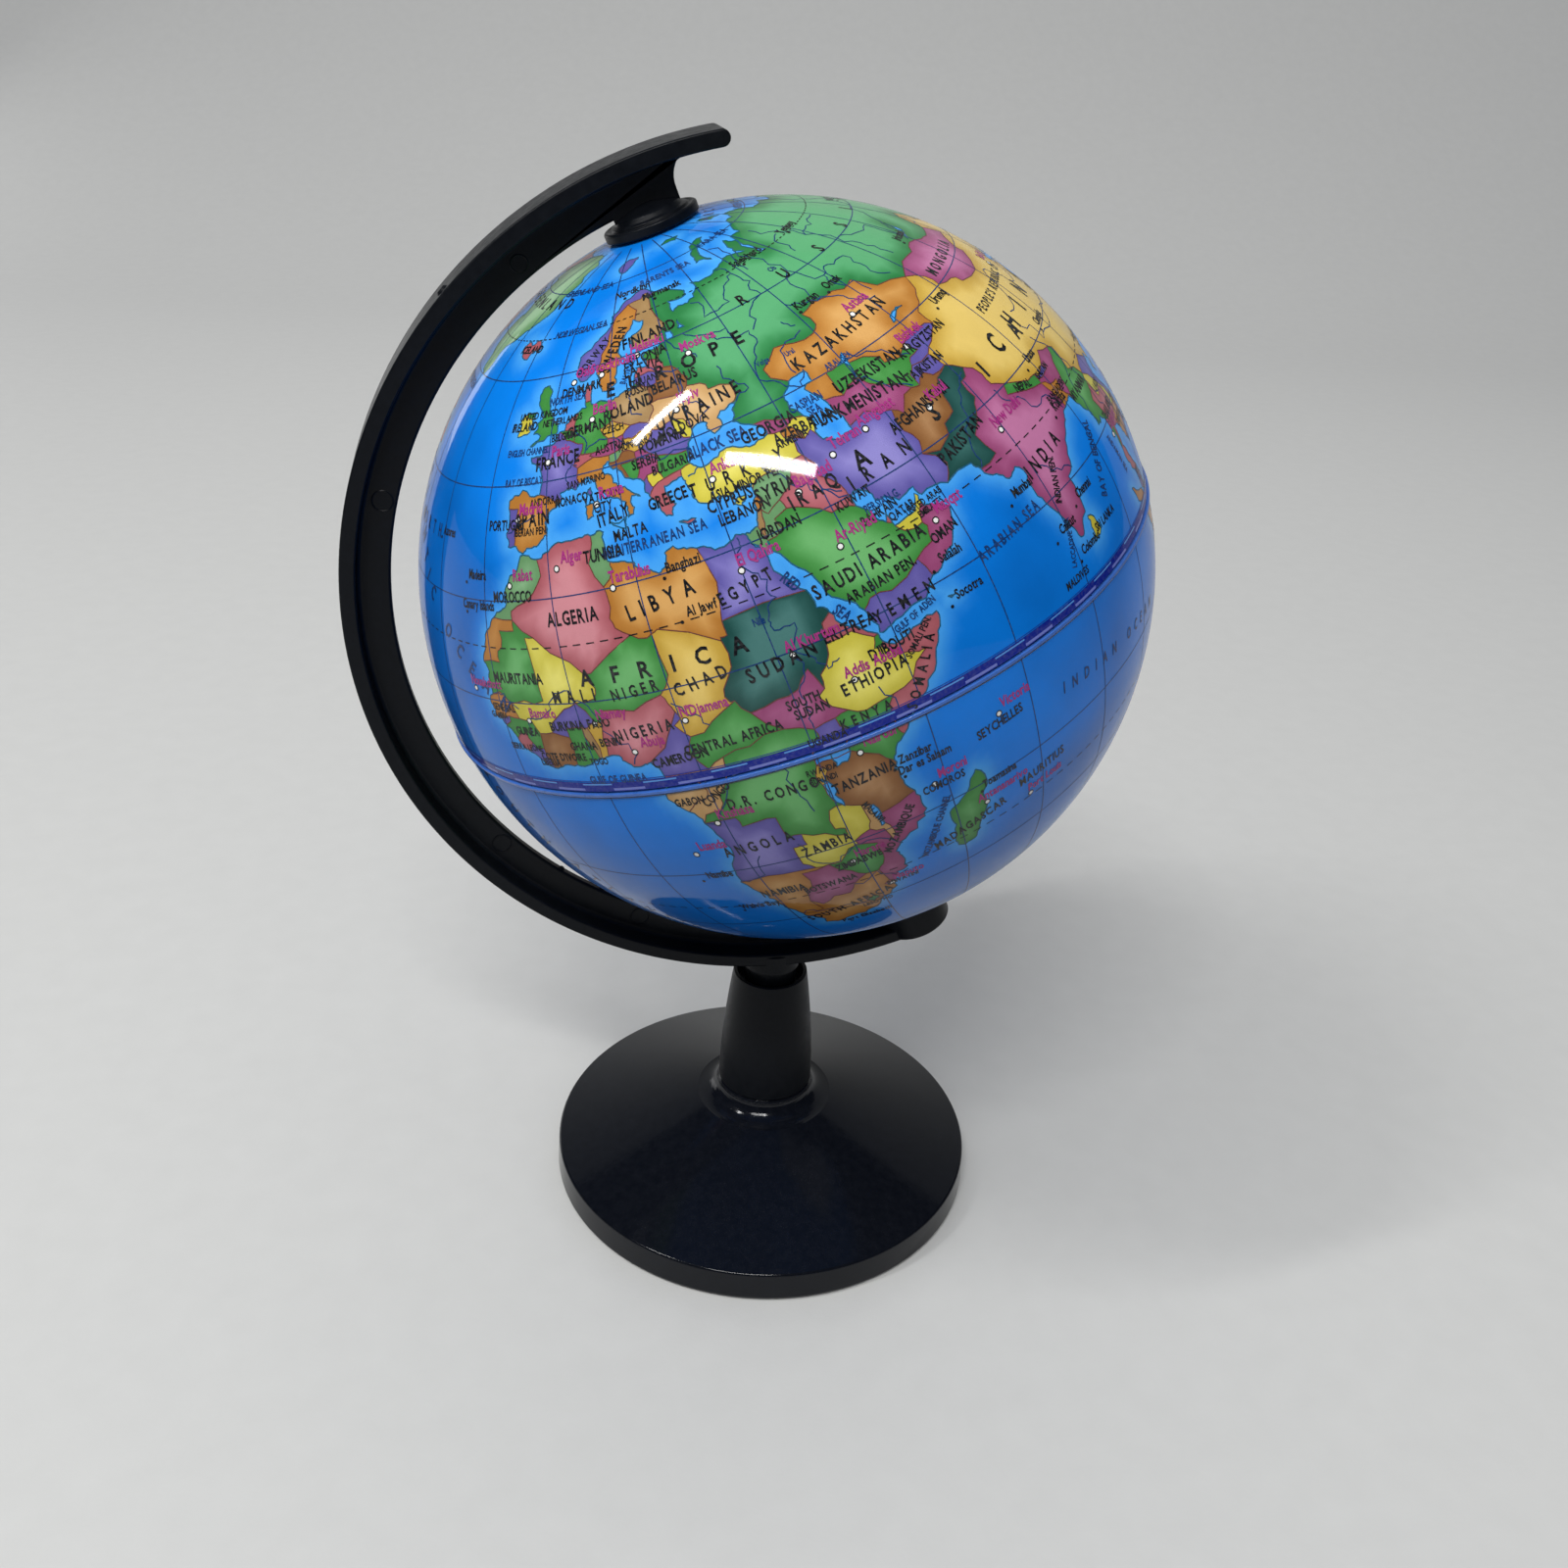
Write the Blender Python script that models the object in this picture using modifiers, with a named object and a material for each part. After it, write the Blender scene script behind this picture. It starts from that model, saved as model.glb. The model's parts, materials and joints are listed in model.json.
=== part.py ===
"""A small desktop globe on a stand.

A hollow plastic ball, moulded in two halves on a joining ring, turns on two short pivots
at the ends of a C-shaped meridian arm of T section. The arm's peg turns in the top of a
tapered stem, and one screw from below holds the stem and the closing plate to a round,
shallow base with a felt disc under it.

Origin: on the stem's axis, where the felt rests on the table. +Z is up, the arm lies in
the XZ plane on the -X side, and the globe's north pole leans towards -X.
"""

import math

import bmesh
import bpy

MM = 0.001

# Clearances and common small values
TOUCH = 0.3 * MM
RUNNING = 0.1 * MM
DRAFT = 0.25 * MM
EDGE = 0.3 * MM

# Ball
GLOBE_RADIUS = 53.0 * MM
GLOBE_WALL = 1.4 * MM
AXIS_TILT = math.radians(22.5)
FIN_PROUD = 0.3 * MM
FIN_THICKNESS = 0.5 * MM
RING_DEPTH = 6.0 * MM
RING_WALL = 1.5 * MM

# Pivots, bushes, cup and boss
PIVOT_RADIUS = 1.8 * MM
PIVOT_DEPTH = 5.5 * MM
BUSH_WALL = 1.1 * MM
BUSH_FLANGE = 1.4 * MM
BUSH_FLANGE_THICKNESS = 0.8 * MM
BUSH_BEYOND_PIVOT = 1.0 * MM
CUP_RIM = 2.05 * MM
CUP_HOLLOW = 1.5 * MM
CUP_DOME = 2.0 * MM
BOSS_WALL = 1.6 * MM
BOSS_CORE_DEPTH = 7.5 * MM
NECK_HALF_WIDTH = 4.55 * MM
NECK_FILLET = 3.8 * MM
NECK_STRAIGHT = 1.5 * MM

# Arm
GLOBE_OFFSET = 2.0 * MM
ARM_GAP = 2.6 * MM
WEB_DEPTH = 4.6 * MM
WEB_THICKNESS = 1.8 * MM
FLANGE_THICKNESS = 2.2 * MM
FLANGE_WIDTH = 9.0 * MM
TIP_REACH = 13.0 * MM
PEG_BOSS_RADIUS = 4.8 * MM
PEG_BOSS_DROP = 1.9 * MM
PEG_BOSS_LIFT = 1.5 * MM
PEG_RADIUS = 3.3 * MM
PEG_ABOVE_FOOT = 3.0 * MM

# Stem
STEM_HEIGHT = 22.0 * MM
STEM_TOP_RADIUS = 6.25 * MM
STEM_FOOT_RADIUS = 8.05 * MM
STEM_SWELL = 1.75
RECESS_DEPTH = 2.5 * MM
RECESS_RIM = 0.65 * MM
SPIGOT_INSET = 1.75 * MM
SPIGOT_LENGTH = 7.7 * MM

# Base
BASE_RADIUS = 36.35 * MM
BASE_RIM_HEIGHT = 5.3 * MM
BASE_RIM_ROUND = 0.4 * MM
BASE_WALL = 1.8 * MM
CONE_RISE = 8.7 * MM
FLARE_RUN = 3.65 * MM
FLARE_RISE = 3.2 * MM
SOCKET_WALL = 2.2 * MM
FELT_THICKNESS = 1.0 * MM
FELT_MARGIN = 5.35 * MM
COVER_THICKNESS = 1.6 * MM
WELL_RADIUS = 8.0 * MM
WELL_HEIGHT = 4.0 * MM
SCREW_RADIUS = 1.25 * MM
SCREW_SHORT_OF_FOOT = 1.0 * MM
SCREW_HEAD_RADIUS = 3.1 * MM
SCREW_HEAD_HEIGHT = 1.8 * MM
SLOT_LENGTH = 3.2 * MM
SLOT_WIDTH = 0.7 * MM
SLOT_DEPTH = 1.0 * MM
WASHER_MARGIN = 1.4 * MM
WASHER_THICKNESS = 0.5 * MM

# Fineness of the round shapes
BALL_STEPS = 60
BASE_STEPS = 60
STEM_STEPS = 32
CUP_STEPS = 32
SMALL_STEPS = 24
ARC_STEP = math.radians(3.0)
OUTER_BANDS = 13
INNER_BANDS = 7

# Places that follow, from the table upwards
COVER_BOTTOM = FELT_THICKNESS + TOUCH
COVER_TOP = COVER_BOTTOM + COVER_THICKNESS
WELL_TOP = COVER_TOP + WELL_HEIGHT
RIM_TOP_RADIUS = BASE_RADIUS - DRAFT
COLLAR_HEIGHT = BASE_RIM_HEIGHT + CONE_RISE
COLLAR_RADIUS = STEM_FOOT_RADIUS + FLARE_RUN
COLLAR_TOP = COLLAR_HEIGHT + FLARE_RISE
CONE_SLOPE = CONE_RISE / (RIM_TOP_RADIUS - COLLAR_RADIUS)
STEM_FOOT = COLLAR_TOP + TOUCH
STEM_TOP = STEM_FOOT + STEM_HEIGHT
SPIGOT_RADIUS = STEM_FOOT_RADIUS - SPIGOT_INSET
SPIGOT_END = STEM_FOOT - SPIGOT_LENGTH
SOCKET_RADIUS = SPIGOT_RADIUS + TOUCH
SOCKET_FLOOR = SPIGOT_END - TOUCH
SCREW_HOLE = SCREW_RADIUS + 2.0 * RUNNING
WASHER_TOP = WELL_TOP - TOUCH - COVER_THICKNESS - TOUCH
WASHER_BOTTOM = WASHER_TOP - WASHER_THICKNESS
RECESS_RADIUS = STEM_TOP_RADIUS - RECESS_RIM
RECESS_FLOOR = STEM_TOP - RECESS_DEPTH
PEG_END = STEM_FOOT + PEG_ABOVE_FOOT
PEG_SHOULDER = RECESS_FLOOR + TOUCH
PEG_BOSS_END = STEM_TOP + PEG_BOSS_LIFT
ARM_BOTTOM = PEG_BOSS_END + PEG_BOSS_DROP

# Radii of the arm and the ball's own places, measured along its axis
WEB_RADIUS = GLOBE_RADIUS + GLOBE_OFFSET + ARM_GAP
FLANGE_RADIUS = WEB_RADIUS + WEB_DEPTH
ARM_RADIUS = FLANGE_RADIUS + FLANGE_THICKNESS
ARM_CENTRE_HEIGHT = ARM_BOTTOM + ARM_RADIUS
GLOBE_CENTRE = (-GLOBE_OFFSET * math.sin(AXIS_TILT), 0.0,
                ARM_CENTRE_HEIGHT + GLOBE_OFFSET * math.cos(AXIS_TILT))
GLOBE_INNER_RADIUS = GLOBE_RADIUS - GLOBE_WALL
PIVOT_END = GLOBE_RADIUS - PIVOT_DEPTH
BUSH_BORE = PIVOT_RADIUS + RUNNING
BUSH_RADIUS = BUSH_BORE + BUSH_WALL
BUSH_FLANGE_RADIUS = BUSH_RADIUS + BUSH_FLANGE
POLE_HOLE = BUSH_RADIUS + TOUCH
HOLLOW_RADIUS = BUSH_FLANGE_RADIUS + TOUCH
CUP_RADIUS = BUSH_FLANGE_RADIUS + CUP_RIM
BOSS_RADIUS = BUSH_FLANGE_RADIUS + BOSS_WALL
BOSS_END = ARM_RADIUS + GLOBE_OFFSET - RUNNING


def clear_scene():
    """Remove every object that the file starts with."""
    for item in list(bpy.data.objects):
        bpy.data.objects.remove(item, do_unlink=True)


def make_collection(name):
    """A new collection under the scene's own."""
    collection = bpy.data.collections.new(name)
    bpy.context.scene.collection.children.link(collection)
    return collection


def make_material(name, colour, roughness, metallic=0.0):
    """A Principled material of one colour."""
    material = bpy.data.materials.new(name)
    material.use_nodes = True
    shader = material.node_tree.nodes["Principled BSDF"]
    shader.inputs["Base Color"].default_value = (*colour, 1.0)
    shader.inputs["Roughness"].default_value = roughness
    shader.inputs["Metallic"].default_value = metallic
    return material


def make_axis(name, location, tilt=0.0):
    """An empty on a joint's axis, turned by tilt about Y."""
    empty = bpy.data.objects.new(name, None)
    empty.location = location
    empty.rotation_euler = (0.0, tilt, 0.0)
    empty.empty_display_size = 20.0 * MM
    PARTS.objects.link(empty)
    return empty


def place(item, material, parent=None):
    """Put a sub-part in the object's collection."""
    item.data.materials.append(material)
    PARTS.objects.link(item)
    item.parent = parent
    return item


def place_tool(item, parent=None):
    """Put a shape that only cuts or joins another in the cutters' collection."""
    CUTTERS.objects.link(item)
    item.parent = parent
    item.hide_render = True
    item.display_type = "WIRE"
    return item


def turned(name, profile, steps, closed=False):
    """An object turned about Z from (radius, height) points that run down its outer side."""
    mesh = bpy.data.meshes.new(name)
    points = [(radius, 0.0, height) for radius, height in profile]
    edges = [(index, index + 1) for index in range(len(points) - 1)]
    if closed:
        edges.append((len(points) - 1, 0))
    mesh.from_pydata(points, edges, [])
    item = bpy.data.objects.new(name, mesh)
    screw = item.modifiers.new("turn", "SCREW")
    screw.axis = "Z"
    screw.angle = math.tau
    screw.steps = steps
    screw.render_steps = steps
    screw.use_merge_vertices = True
    screw.merge_threshold = 0.01 * MM
    screw.use_smooth_shade = True
    return item


def outline_plate(name, points, thickness):
    """A flat plate of the given (x, z) outline, centred on Y = 0, as a mesh object."""
    curve = bpy.data.curves.new(name, "CURVE")
    curve.dimensions = "2D"
    curve.fill_mode = "BOTH"
    curve.extrude = thickness / 2.0
    spline = curve.splines.new("POLY")
    spline.points.add(len(points) - 1)
    for point, (x, z) in zip(spline.points, points):
        point.co = (x, z, 0.0, 1.0)
    spline.use_cyclic_u = True
    drawn = bpy.data.objects.new(name + "_outline", curve)
    drawn.rotation_euler = (math.pi / 2.0, 0.0, 0.0)
    CUTTERS.objects.link(drawn)
    bpy.context.view_layer.update()
    evaluated = drawn.evaluated_get(bpy.context.evaluated_depsgraph_get())
    mesh = bpy.data.meshes.new_from_object(evaluated)
    mesh.transform(drawn.matrix_world)
    bpy.data.objects.remove(drawn, do_unlink=True)
    body = bmesh.new()
    body.from_mesh(mesh)
    bmesh.ops.remove_doubles(body, verts=body.verts, dist=0.001 * MM)
    bmesh.ops.recalc_face_normals(body, faces=body.faces)
    body.to_mesh(mesh)
    body.free()
    mesh.shade_smooth()
    mesh.set_sharp_from_angle(angle=math.radians(35.0))
    return bpy.data.objects.new(name, mesh)


def boolean(item, operation, tool):
    """Add an exact Boolean between an object and a tool."""
    modifier = item.modifiers.new(tool.name, "BOOLEAN")
    modifier.operation = operation
    modifier.solver = "EXACT"
    modifier.object = tool


def ball_height(radius):
    """Height of the ball's surface above its centre, at a distance from the axis."""
    return math.sqrt(GLOBE_RADIUS ** 2 - radius ** 2)


def mirrored(profile):
    """The same profile upside down, still running down its outer side."""
    return [(radius, -height) for radius, height in reversed(profile)]


def arm_point(radius, angle):
    """An (x, z) point about the arm's centre, at an angle from straight up towards -X."""
    return (-radius * math.sin(angle), radius * math.cos(angle))


def arm_arc(radius, first, last):
    """Points along the arm at one radius, about every ARC_STEP."""
    count = max(1, round(abs(last - first) / ARC_STEP))
    return [arm_point(radius, first + (last - first) * index / count) for index in range(count + 1)]


def axis_point(offset, distance):
    """A point at a distance along the ball's axis from its centre, and an offset towards +X."""
    along = distance + GLOBE_OFFSET
    x = -along * math.sin(AXIS_TILT) + offset * math.cos(AXIS_TILT)
    z = along * math.cos(AXIS_TILT) + offset * math.sin(AXIS_TILT)
    return (x, z)


def make_base_shell():
    """The round base: a rim, a shallow cone and a raised collar with the stem's socket."""
    flare_steps = 5
    inner_drop = BASE_WALL * math.sqrt(1.0 + CONE_SLOPE ** 2)
    pillar = SOCKET_RADIUS + SOCKET_WALL
    pillar_top = COLLAR_HEIGHT - inner_drop + CONE_SLOPE * (COLLAR_RADIUS - pillar)
    inner_rim = BASE_RADIUS - BASE_WALL
    profile = [(SOCKET_RADIUS, COLLAR_TOP), (STEM_FOOT_RADIUS - EDGE, COLLAR_TOP)]
    for index in range(flare_steps + 1):
        turn = math.pi / 2.0 * index / flare_steps
        radius = STEM_FOOT_RADIUS + FLARE_RUN * (1.0 - math.cos(turn))
        height = COLLAR_HEIGHT + (FLARE_RISE - EDGE) * (1.0 - math.sin(turn))
        profile.append((radius, height))
    profile += [
        (RIM_TOP_RADIUS - BASE_RIM_ROUND, BASE_RIM_HEIGHT + CONE_SLOPE * BASE_RIM_ROUND),
        (RIM_TOP_RADIUS - BASE_RIM_ROUND / 5.0, BASE_RIM_HEIGHT - BASE_RIM_ROUND / 10.0),
        (RIM_TOP_RADIUS, BASE_RIM_HEIGHT - BASE_RIM_ROUND),
        (BASE_RADIUS, TOUCH + BASE_RIM_ROUND),
        (BASE_RADIUS - BASE_RIM_ROUND, TOUCH),
        (inner_rim, TOUCH),
        (inner_rim - DRAFT, COVER_TOP + TOUCH),
        (pillar, pillar_top),
        (pillar - DRAFT, WELL_TOP),
        (SCREW_HOLE, WELL_TOP),
        (SCREW_HOLE, SOCKET_FLOOR),
        (SOCKET_RADIUS, SOCKET_FLOOR),
    ]
    return place(turned("base_shell", profile, BASE_STEPS, closed=True), BLACK_GLOSS)


def make_base_cover():
    """The plate that closes the base, with a well for the screw's head."""
    top = WELL_TOP - TOUCH
    well_inner = WELL_RADIUS - COVER_THICKNESS
    outer = BASE_RADIUS - BASE_WALL - DRAFT - TOUCH
    profile = [
        (SCREW_HOLE, top),
        (WELL_RADIUS - DRAFT, top),
        (WELL_RADIUS, COVER_TOP),
        (outer, COVER_TOP),
        (outer, COVER_BOTTOM),
        (well_inner, COVER_BOTTOM),
        (well_inner - DRAFT, top - COVER_THICKNESS),
        (SCREW_HOLE, top - COVER_THICKNESS),
    ]
    return place(turned("base_cover", profile, BASE_STEPS, closed=True), BLACK_SATIN)


def make_felt_disc():
    """The felt under the base, with a softened lower edge."""
    radius = BASE_RADIUS - FELT_MARGIN
    profile = [
        (0.0, FELT_THICKNESS),
        (radius, FELT_THICKNESS),
        (radius, EDGE),
        (radius - EDGE, 0.0),
        (0.0, 0.0),
    ]
    return place(turned("felt_disc", profile, BASE_STEPS), GREY_FELT)


def make_screw():
    """The pan-head screw with a cross slot, which clamps the plate, the base and the stem."""
    head_top = WASHER_BOTTOM - TOUCH
    head_bottom = head_top - SCREW_HEAD_HEIGHT
    tip = STEM_FOOT - SCREW_SHORT_OF_FOOT
    profile = [
        (0.0, tip),
        (SCREW_RADIUS * 0.4, tip - 0.2 * MM),
        (SCREW_RADIUS, tip - SCREW_RADIUS * 1.3),
        (SCREW_RADIUS, head_top),
        (SCREW_HEAD_RADIUS, head_top),
        (SCREW_HEAD_RADIUS, head_bottom + SCREW_HEAD_HEIGHT * 0.5),
        (SCREW_HEAD_RADIUS * 0.72, head_bottom + SCREW_HEAD_HEIGHT * 0.1),
        (SCREW_HEAD_RADIUS * 0.3, head_bottom),
        (0.0, head_bottom),
    ]
    screw = place(turned("stem_screw", profile, SMALL_STEPS), ZINC_STEEL)
    for index in range(2):
        mesh = bpy.data.meshes.new("drive_slot")
        body = bmesh.new()
        bmesh.ops.create_cube(body, size=1.0)
        bmesh.ops.scale(body, verts=body.verts, vec=(SLOT_LENGTH, SLOT_WIDTH, 2.0 * SLOT_DEPTH))
        body.to_mesh(mesh)
        body.free()
        slot = place_tool(bpy.data.objects.new(f"drive_slot_{index + 1}", mesh))
        slot.location = (0.0, 0.0, head_bottom)
        slot.rotation_euler = (0.0, 0.0, index * math.pi / 2.0)
        boolean(screw, "DIFFERENCE", slot)
    return screw


def make_washer():
    """The washer between the screw's head and the plate."""
    outer = SCREW_HEAD_RADIUS + WASHER_MARGIN
    profile = [
        (SCREW_HOLE, WASHER_TOP),
        (outer, WASHER_TOP),
        (outer, WASHER_BOTTOM),
        (SCREW_HOLE, WASHER_BOTTOM),
    ]
    return place(turned("screw_washer", profile, SMALL_STEPS, closed=True), ZINC_STEEL)


def make_stem():
    """The tapered column, with the arm's socket above and a spigot and screw hole below."""
    side_steps = 6
    pilot = SCREW_RADIUS + RUNNING
    peg_hole = PEG_RADIUS + RUNNING
    hole_end = PEG_END - TOUCH
    profile = [(RECESS_RADIUS, STEM_TOP), (STEM_TOP_RADIUS - EDGE, STEM_TOP)]
    for index in range(side_steps + 1):
        down = index / side_steps
        swell = 1.0 - (1.0 - down) ** STEM_SWELL
        radius = STEM_TOP_RADIUS + (STEM_FOOT_RADIUS - STEM_TOP_RADIUS) * swell
        profile.append((radius, STEM_TOP - EDGE - (STEM_HEIGHT - EDGE) * down))
    profile += [
        (SPIGOT_RADIUS, STEM_FOOT),
        (SPIGOT_RADIUS, SPIGOT_END + EDGE),
        (SPIGOT_RADIUS - EDGE, SPIGOT_END),
        (pilot, SPIGOT_END),
        (pilot, hole_end),
        (peg_hole, hole_end),
        (peg_hole, RECESS_FLOOR),
        (RECESS_RADIUS - DRAFT, RECESS_FLOOR),
    ]
    return place(turned("stem", profile, STEM_STEPS, closed=True), BLACK_SATIN)


def make_band():
    """The arm's outer band, from its rounded tip to the south boss."""
    round_steps = 6
    half = FLANGE_THICKNESS / 2.0
    middle = FLANGE_RADIUS + half
    tip = AXIS_TILT - (TIP_REACH - half) / middle
    south = math.pi + AXIS_TILT - (BOSS_RADIUS - FLANGE_WIDTH * 0.3) / middle
    centre = arm_point(middle, tip)
    outward = arm_point(half, tip)
    onward = arm_point(half, tip - math.pi / 2.0)
    outline = arm_arc(ARM_RADIUS, south, tip)
    for index in range(1, round_steps):
        turn = math.pi * index / round_steps
        outline.append((centre[0] + outward[0] * math.cos(turn) + onward[0] * math.sin(turn),
                        centre[1] + outward[1] * math.cos(turn) + onward[1] * math.sin(turn)))
    outline += arm_arc(FLANGE_RADIUS, tip, south)
    return place(outline_plate("meridian_arm", outline, FLANGE_WIDTH), BLACK_SATIN, ARM_SWIVEL)


def make_web():
    """The thin rib inside the band, with the neck that comes down to the north cup."""
    fillet_steps = 6
    root = FLANGE_RADIUS + FLANGE_THICKNESS / 2.0
    north = AXIS_TILT - math.asin((NECK_HALF_WIDTH + NECK_FILLET) / root)
    south = math.pi + AXIS_TILT - (BOSS_RADIUS - FLANGE_WIDTH * 0.15) / root
    neck_left = AXIS_TILT + math.asin(NECK_HALF_WIDTH / WEB_RADIUS)
    neck_bottom = ball_height(CUP_RADIUS) + TOUCH + CUP_HOLLOW + CUP_DOME * 0.3
    fillet_height = neck_bottom + NECK_STRAIGHT
    outline = arm_arc(root, south, north)
    for index in range(fillet_steps + 1):
        turn = math.pi / 2.0 * index / fillet_steps
        outline.append(axis_point(NECK_HALF_WIDTH + NECK_FILLET * (1.0 - math.sin(turn)),
                                  fillet_height + NECK_FILLET * math.cos(turn)))
    outline.append(axis_point(NECK_HALF_WIDTH, neck_bottom))
    outline.append(axis_point(-NECK_HALF_WIDTH, neck_bottom))
    outline += arm_arc(WEB_RADIUS, neck_left, south)
    return place_tool(outline_plate("arm_web", outline, WEB_THICKNESS), ARM_SWIVEL)


def make_north_cup():
    """The saucer over the north pole, with a beaded rim and the pivot under it."""
    rim = ball_height(CUP_RADIUS) + TOUCH
    roof = rim + CUP_HOLLOW
    bead = 0.35 * MM
    profile = [
        (0.0, roof + CUP_DOME),
        (NECK_HALF_WIDTH * 0.3, roof + CUP_DOME * 0.85),
        (NECK_HALF_WIDTH * 0.65, roof + CUP_DOME * 0.68),
        (NECK_HALF_WIDTH, roof + CUP_DOME * 0.4),
        (CUP_RADIUS - bead * 3.0, roof + CUP_DOME * 0.08),
        (CUP_RADIUS - bead * 1.7, roof - bead * 0.6),
        (CUP_RADIUS - bead * 0.7, roof - bead),
        (CUP_RADIUS, roof - bead * 2.0),
        (CUP_RADIUS, rim + bead),
        (CUP_RADIUS - bead, rim),
        (CUP_RADIUS - bead * 2.4, rim + bead * 0.3),
        (HOLLOW_RADIUS + EDGE, roof - EDGE),
        (HOLLOW_RADIUS, roof),
        (PIVOT_RADIUS, roof),
        (PIVOT_RADIUS, PIVOT_END + EDGE),
        (PIVOT_RADIUS - EDGE, PIVOT_END),
        (0.0, PIVOT_END),
    ]
    return place_tool(turned("north_cup", profile, CUP_STEPS), GLOBE_SPIN)


def make_south_boss():
    """The round boss under the south pole, hollow next to the ball, with its pivot."""
    rim = ball_height(BOSS_RADIUS) + TOUCH
    roof = rim + CUP_HOLLOW
    rounding = 0.7 * MM
    profile = [
        (0.0, BOSS_END),
        (BOSS_RADIUS - rounding, BOSS_END),
        (BOSS_RADIUS - 0.3 * rounding, BOSS_END - 0.3 * rounding),
        (BOSS_RADIUS, BOSS_END - rounding),
        (BOSS_RADIUS, rim + EDGE),
        (BOSS_RADIUS - EDGE / 3.0, rim),
        (HOLLOW_RADIUS + EDGE, rim + EDGE / 3.0),
        (HOLLOW_RADIUS, roof),
        (PIVOT_RADIUS, roof),
        (PIVOT_RADIUS, PIVOT_END + EDGE),
        (PIVOT_RADIUS - EDGE, PIVOT_END),
        (0.0, PIVOT_END),
    ]
    return place_tool(turned("south_boss", mirrored(profile), CUP_STEPS), GLOBE_SPIN)


def make_boss_core():
    """The hollow moulded up into the south boss from its outer end."""
    radius = BOSS_RADIUS - BOSS_WALL + RUNNING
    profile = [
        (0.0, BOSS_CORE_DEPTH),
        (radius - DRAFT, BOSS_CORE_DEPTH),
        (radius, -EDGE),
        (0.0, -EDGE),
    ]
    core = place_tool(turned("boss_core", profile, SMALL_STEPS), GLOBE_SPIN)
    core.location = (0.0, 0.0, -BOSS_END)
    return core


def make_peg():
    """The round boss under the arm and the stepped peg that turns in the stem."""
    inside_band = ARM_BOTTOM + FLANGE_THICKNESS * 0.65
    seat = RECESS_RADIUS - DRAFT - 3.0 * TOUCH
    heights = [
        (0.0, inside_band),
        (PEG_BOSS_RADIUS, inside_band),
        (PEG_BOSS_RADIUS, PEG_BOSS_END + EDGE),
        (PEG_BOSS_RADIUS - EDGE, PEG_BOSS_END),
        (seat, PEG_BOSS_END),
        (seat, PEG_SHOULDER),
        (PEG_RADIUS, PEG_SHOULDER),
        (PEG_RADIUS, PEG_END + 3.0 * EDGE),
        (PEG_RADIUS - 2.0 * EDGE, PEG_END),
        (0.0, PEG_END),
    ]
    profile = [(radius, height - ARM_CENTRE_HEIGHT) for radius, height in heights]
    return place_tool(turned("arm_peg", profile, SMALL_STEPS), ARM_SWIVEL)


def make_meridian_arm():
    """The C-shaped arm: band, rib, north cup, south boss and peg in one moulding."""
    arm = make_band()
    boolean(arm, "UNION", make_web())
    boolean(arm, "UNION", make_north_cup())
    boolean(arm, "UNION", make_south_boss())
    boolean(arm, "UNION", make_peg())
    boolean(arm, "DIFFERENCE", make_boss_core())
    return arm


def meridian(radius, first, last, bands):
    """Points on a sphere's meridian from one latitude to another."""
    latitudes = [first + (last - first) * index / bands for index in range(bands + 1)]
    return [(radius * math.cos(latitude), radius * math.sin(latitude)) for latitude in latitudes]


def make_hemisphere(name, south):
    """One hollow half of the ball, with a hole for its pole bush."""
    lip = FIN_THICKNESS / 2.0 + TOUCH
    profile = meridian(GLOBE_RADIUS, math.acos(POLE_HOLE / GLOBE_RADIUS),
                       math.asin(lip / GLOBE_RADIUS), OUTER_BANDS)
    profile += meridian(GLOBE_INNER_RADIUS, math.asin(lip / GLOBE_INNER_RADIUS),
                        math.acos(POLE_HOLE / GLOBE_INNER_RADIUS), INNER_BANDS)
    if south:
        profile = mirrored(profile)
    return place(turned(name, profile, BALL_STEPS, closed=True), BLUE_SHELL, GLOBE_SPIN)


def make_joining_ring():
    """The ring inside the equator: a spigot for both halves and a thin fin between them."""
    spigot = GLOBE_INNER_RADIUS - TOUCH
    inner = spigot - RING_WALL
    fin = FIN_THICKNESS / 2.0
    upper = [
        (inner, RING_DEPTH / 2.0),
        (spigot - EDGE, RING_DEPTH / 2.0),
        (spigot, RING_DEPTH / 4.0),
        (spigot, fin),
        (GLOBE_RADIUS + FIN_PROUD, fin),
    ]
    profile = upper + mirrored(upper)
    item = turned("equator_joining_ring", profile, BALL_STEPS, closed=True)
    return place(item, CLEAR_RING, GLOBE_SPIN)


def make_pole_bush(name, south):
    """The flanged bush in a pole hole, bored to run on the arm's pivot."""
    seat = ball_height(POLE_HOLE) + TOUCH
    top = seat + BUSH_FLANGE_THICKNESS
    inner_end = PIVOT_END - BUSH_BEYOND_PIVOT
    profile = [
        (BUSH_BORE, top),
        (BUSH_FLANGE_RADIUS - EDGE, top),
        (BUSH_FLANGE_RADIUS, top - EDGE),
        (BUSH_FLANGE_RADIUS, seat),
        (BUSH_RADIUS, seat),
        (BUSH_RADIUS, inner_end + EDGE),
        (BUSH_RADIUS - EDGE, inner_end),
        (BUSH_BORE, inner_end),
    ]
    if south:
        profile = mirrored(profile)
    return place(turned(name, profile, SMALL_STEPS, closed=True), WHITE_BUSH, GLOBE_SPIN)


def build_globe_on_stand():
    """Make every sub-part in its place."""
    make_base_shell()
    make_base_cover()
    make_felt_disc()
    make_screw()
    make_washer()
    make_stem()
    make_meridian_arm()
    make_hemisphere("north_hemisphere", south=False)
    make_hemisphere("south_hemisphere", south=True)
    make_joining_ring()
    make_pole_bush("north_pole_bush", south=False)
    make_pole_bush("south_pole_bush", south=True)


clear_scene()
PARTS = make_collection("desktop_globe")
CUTTERS = make_collection("cutters")

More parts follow.
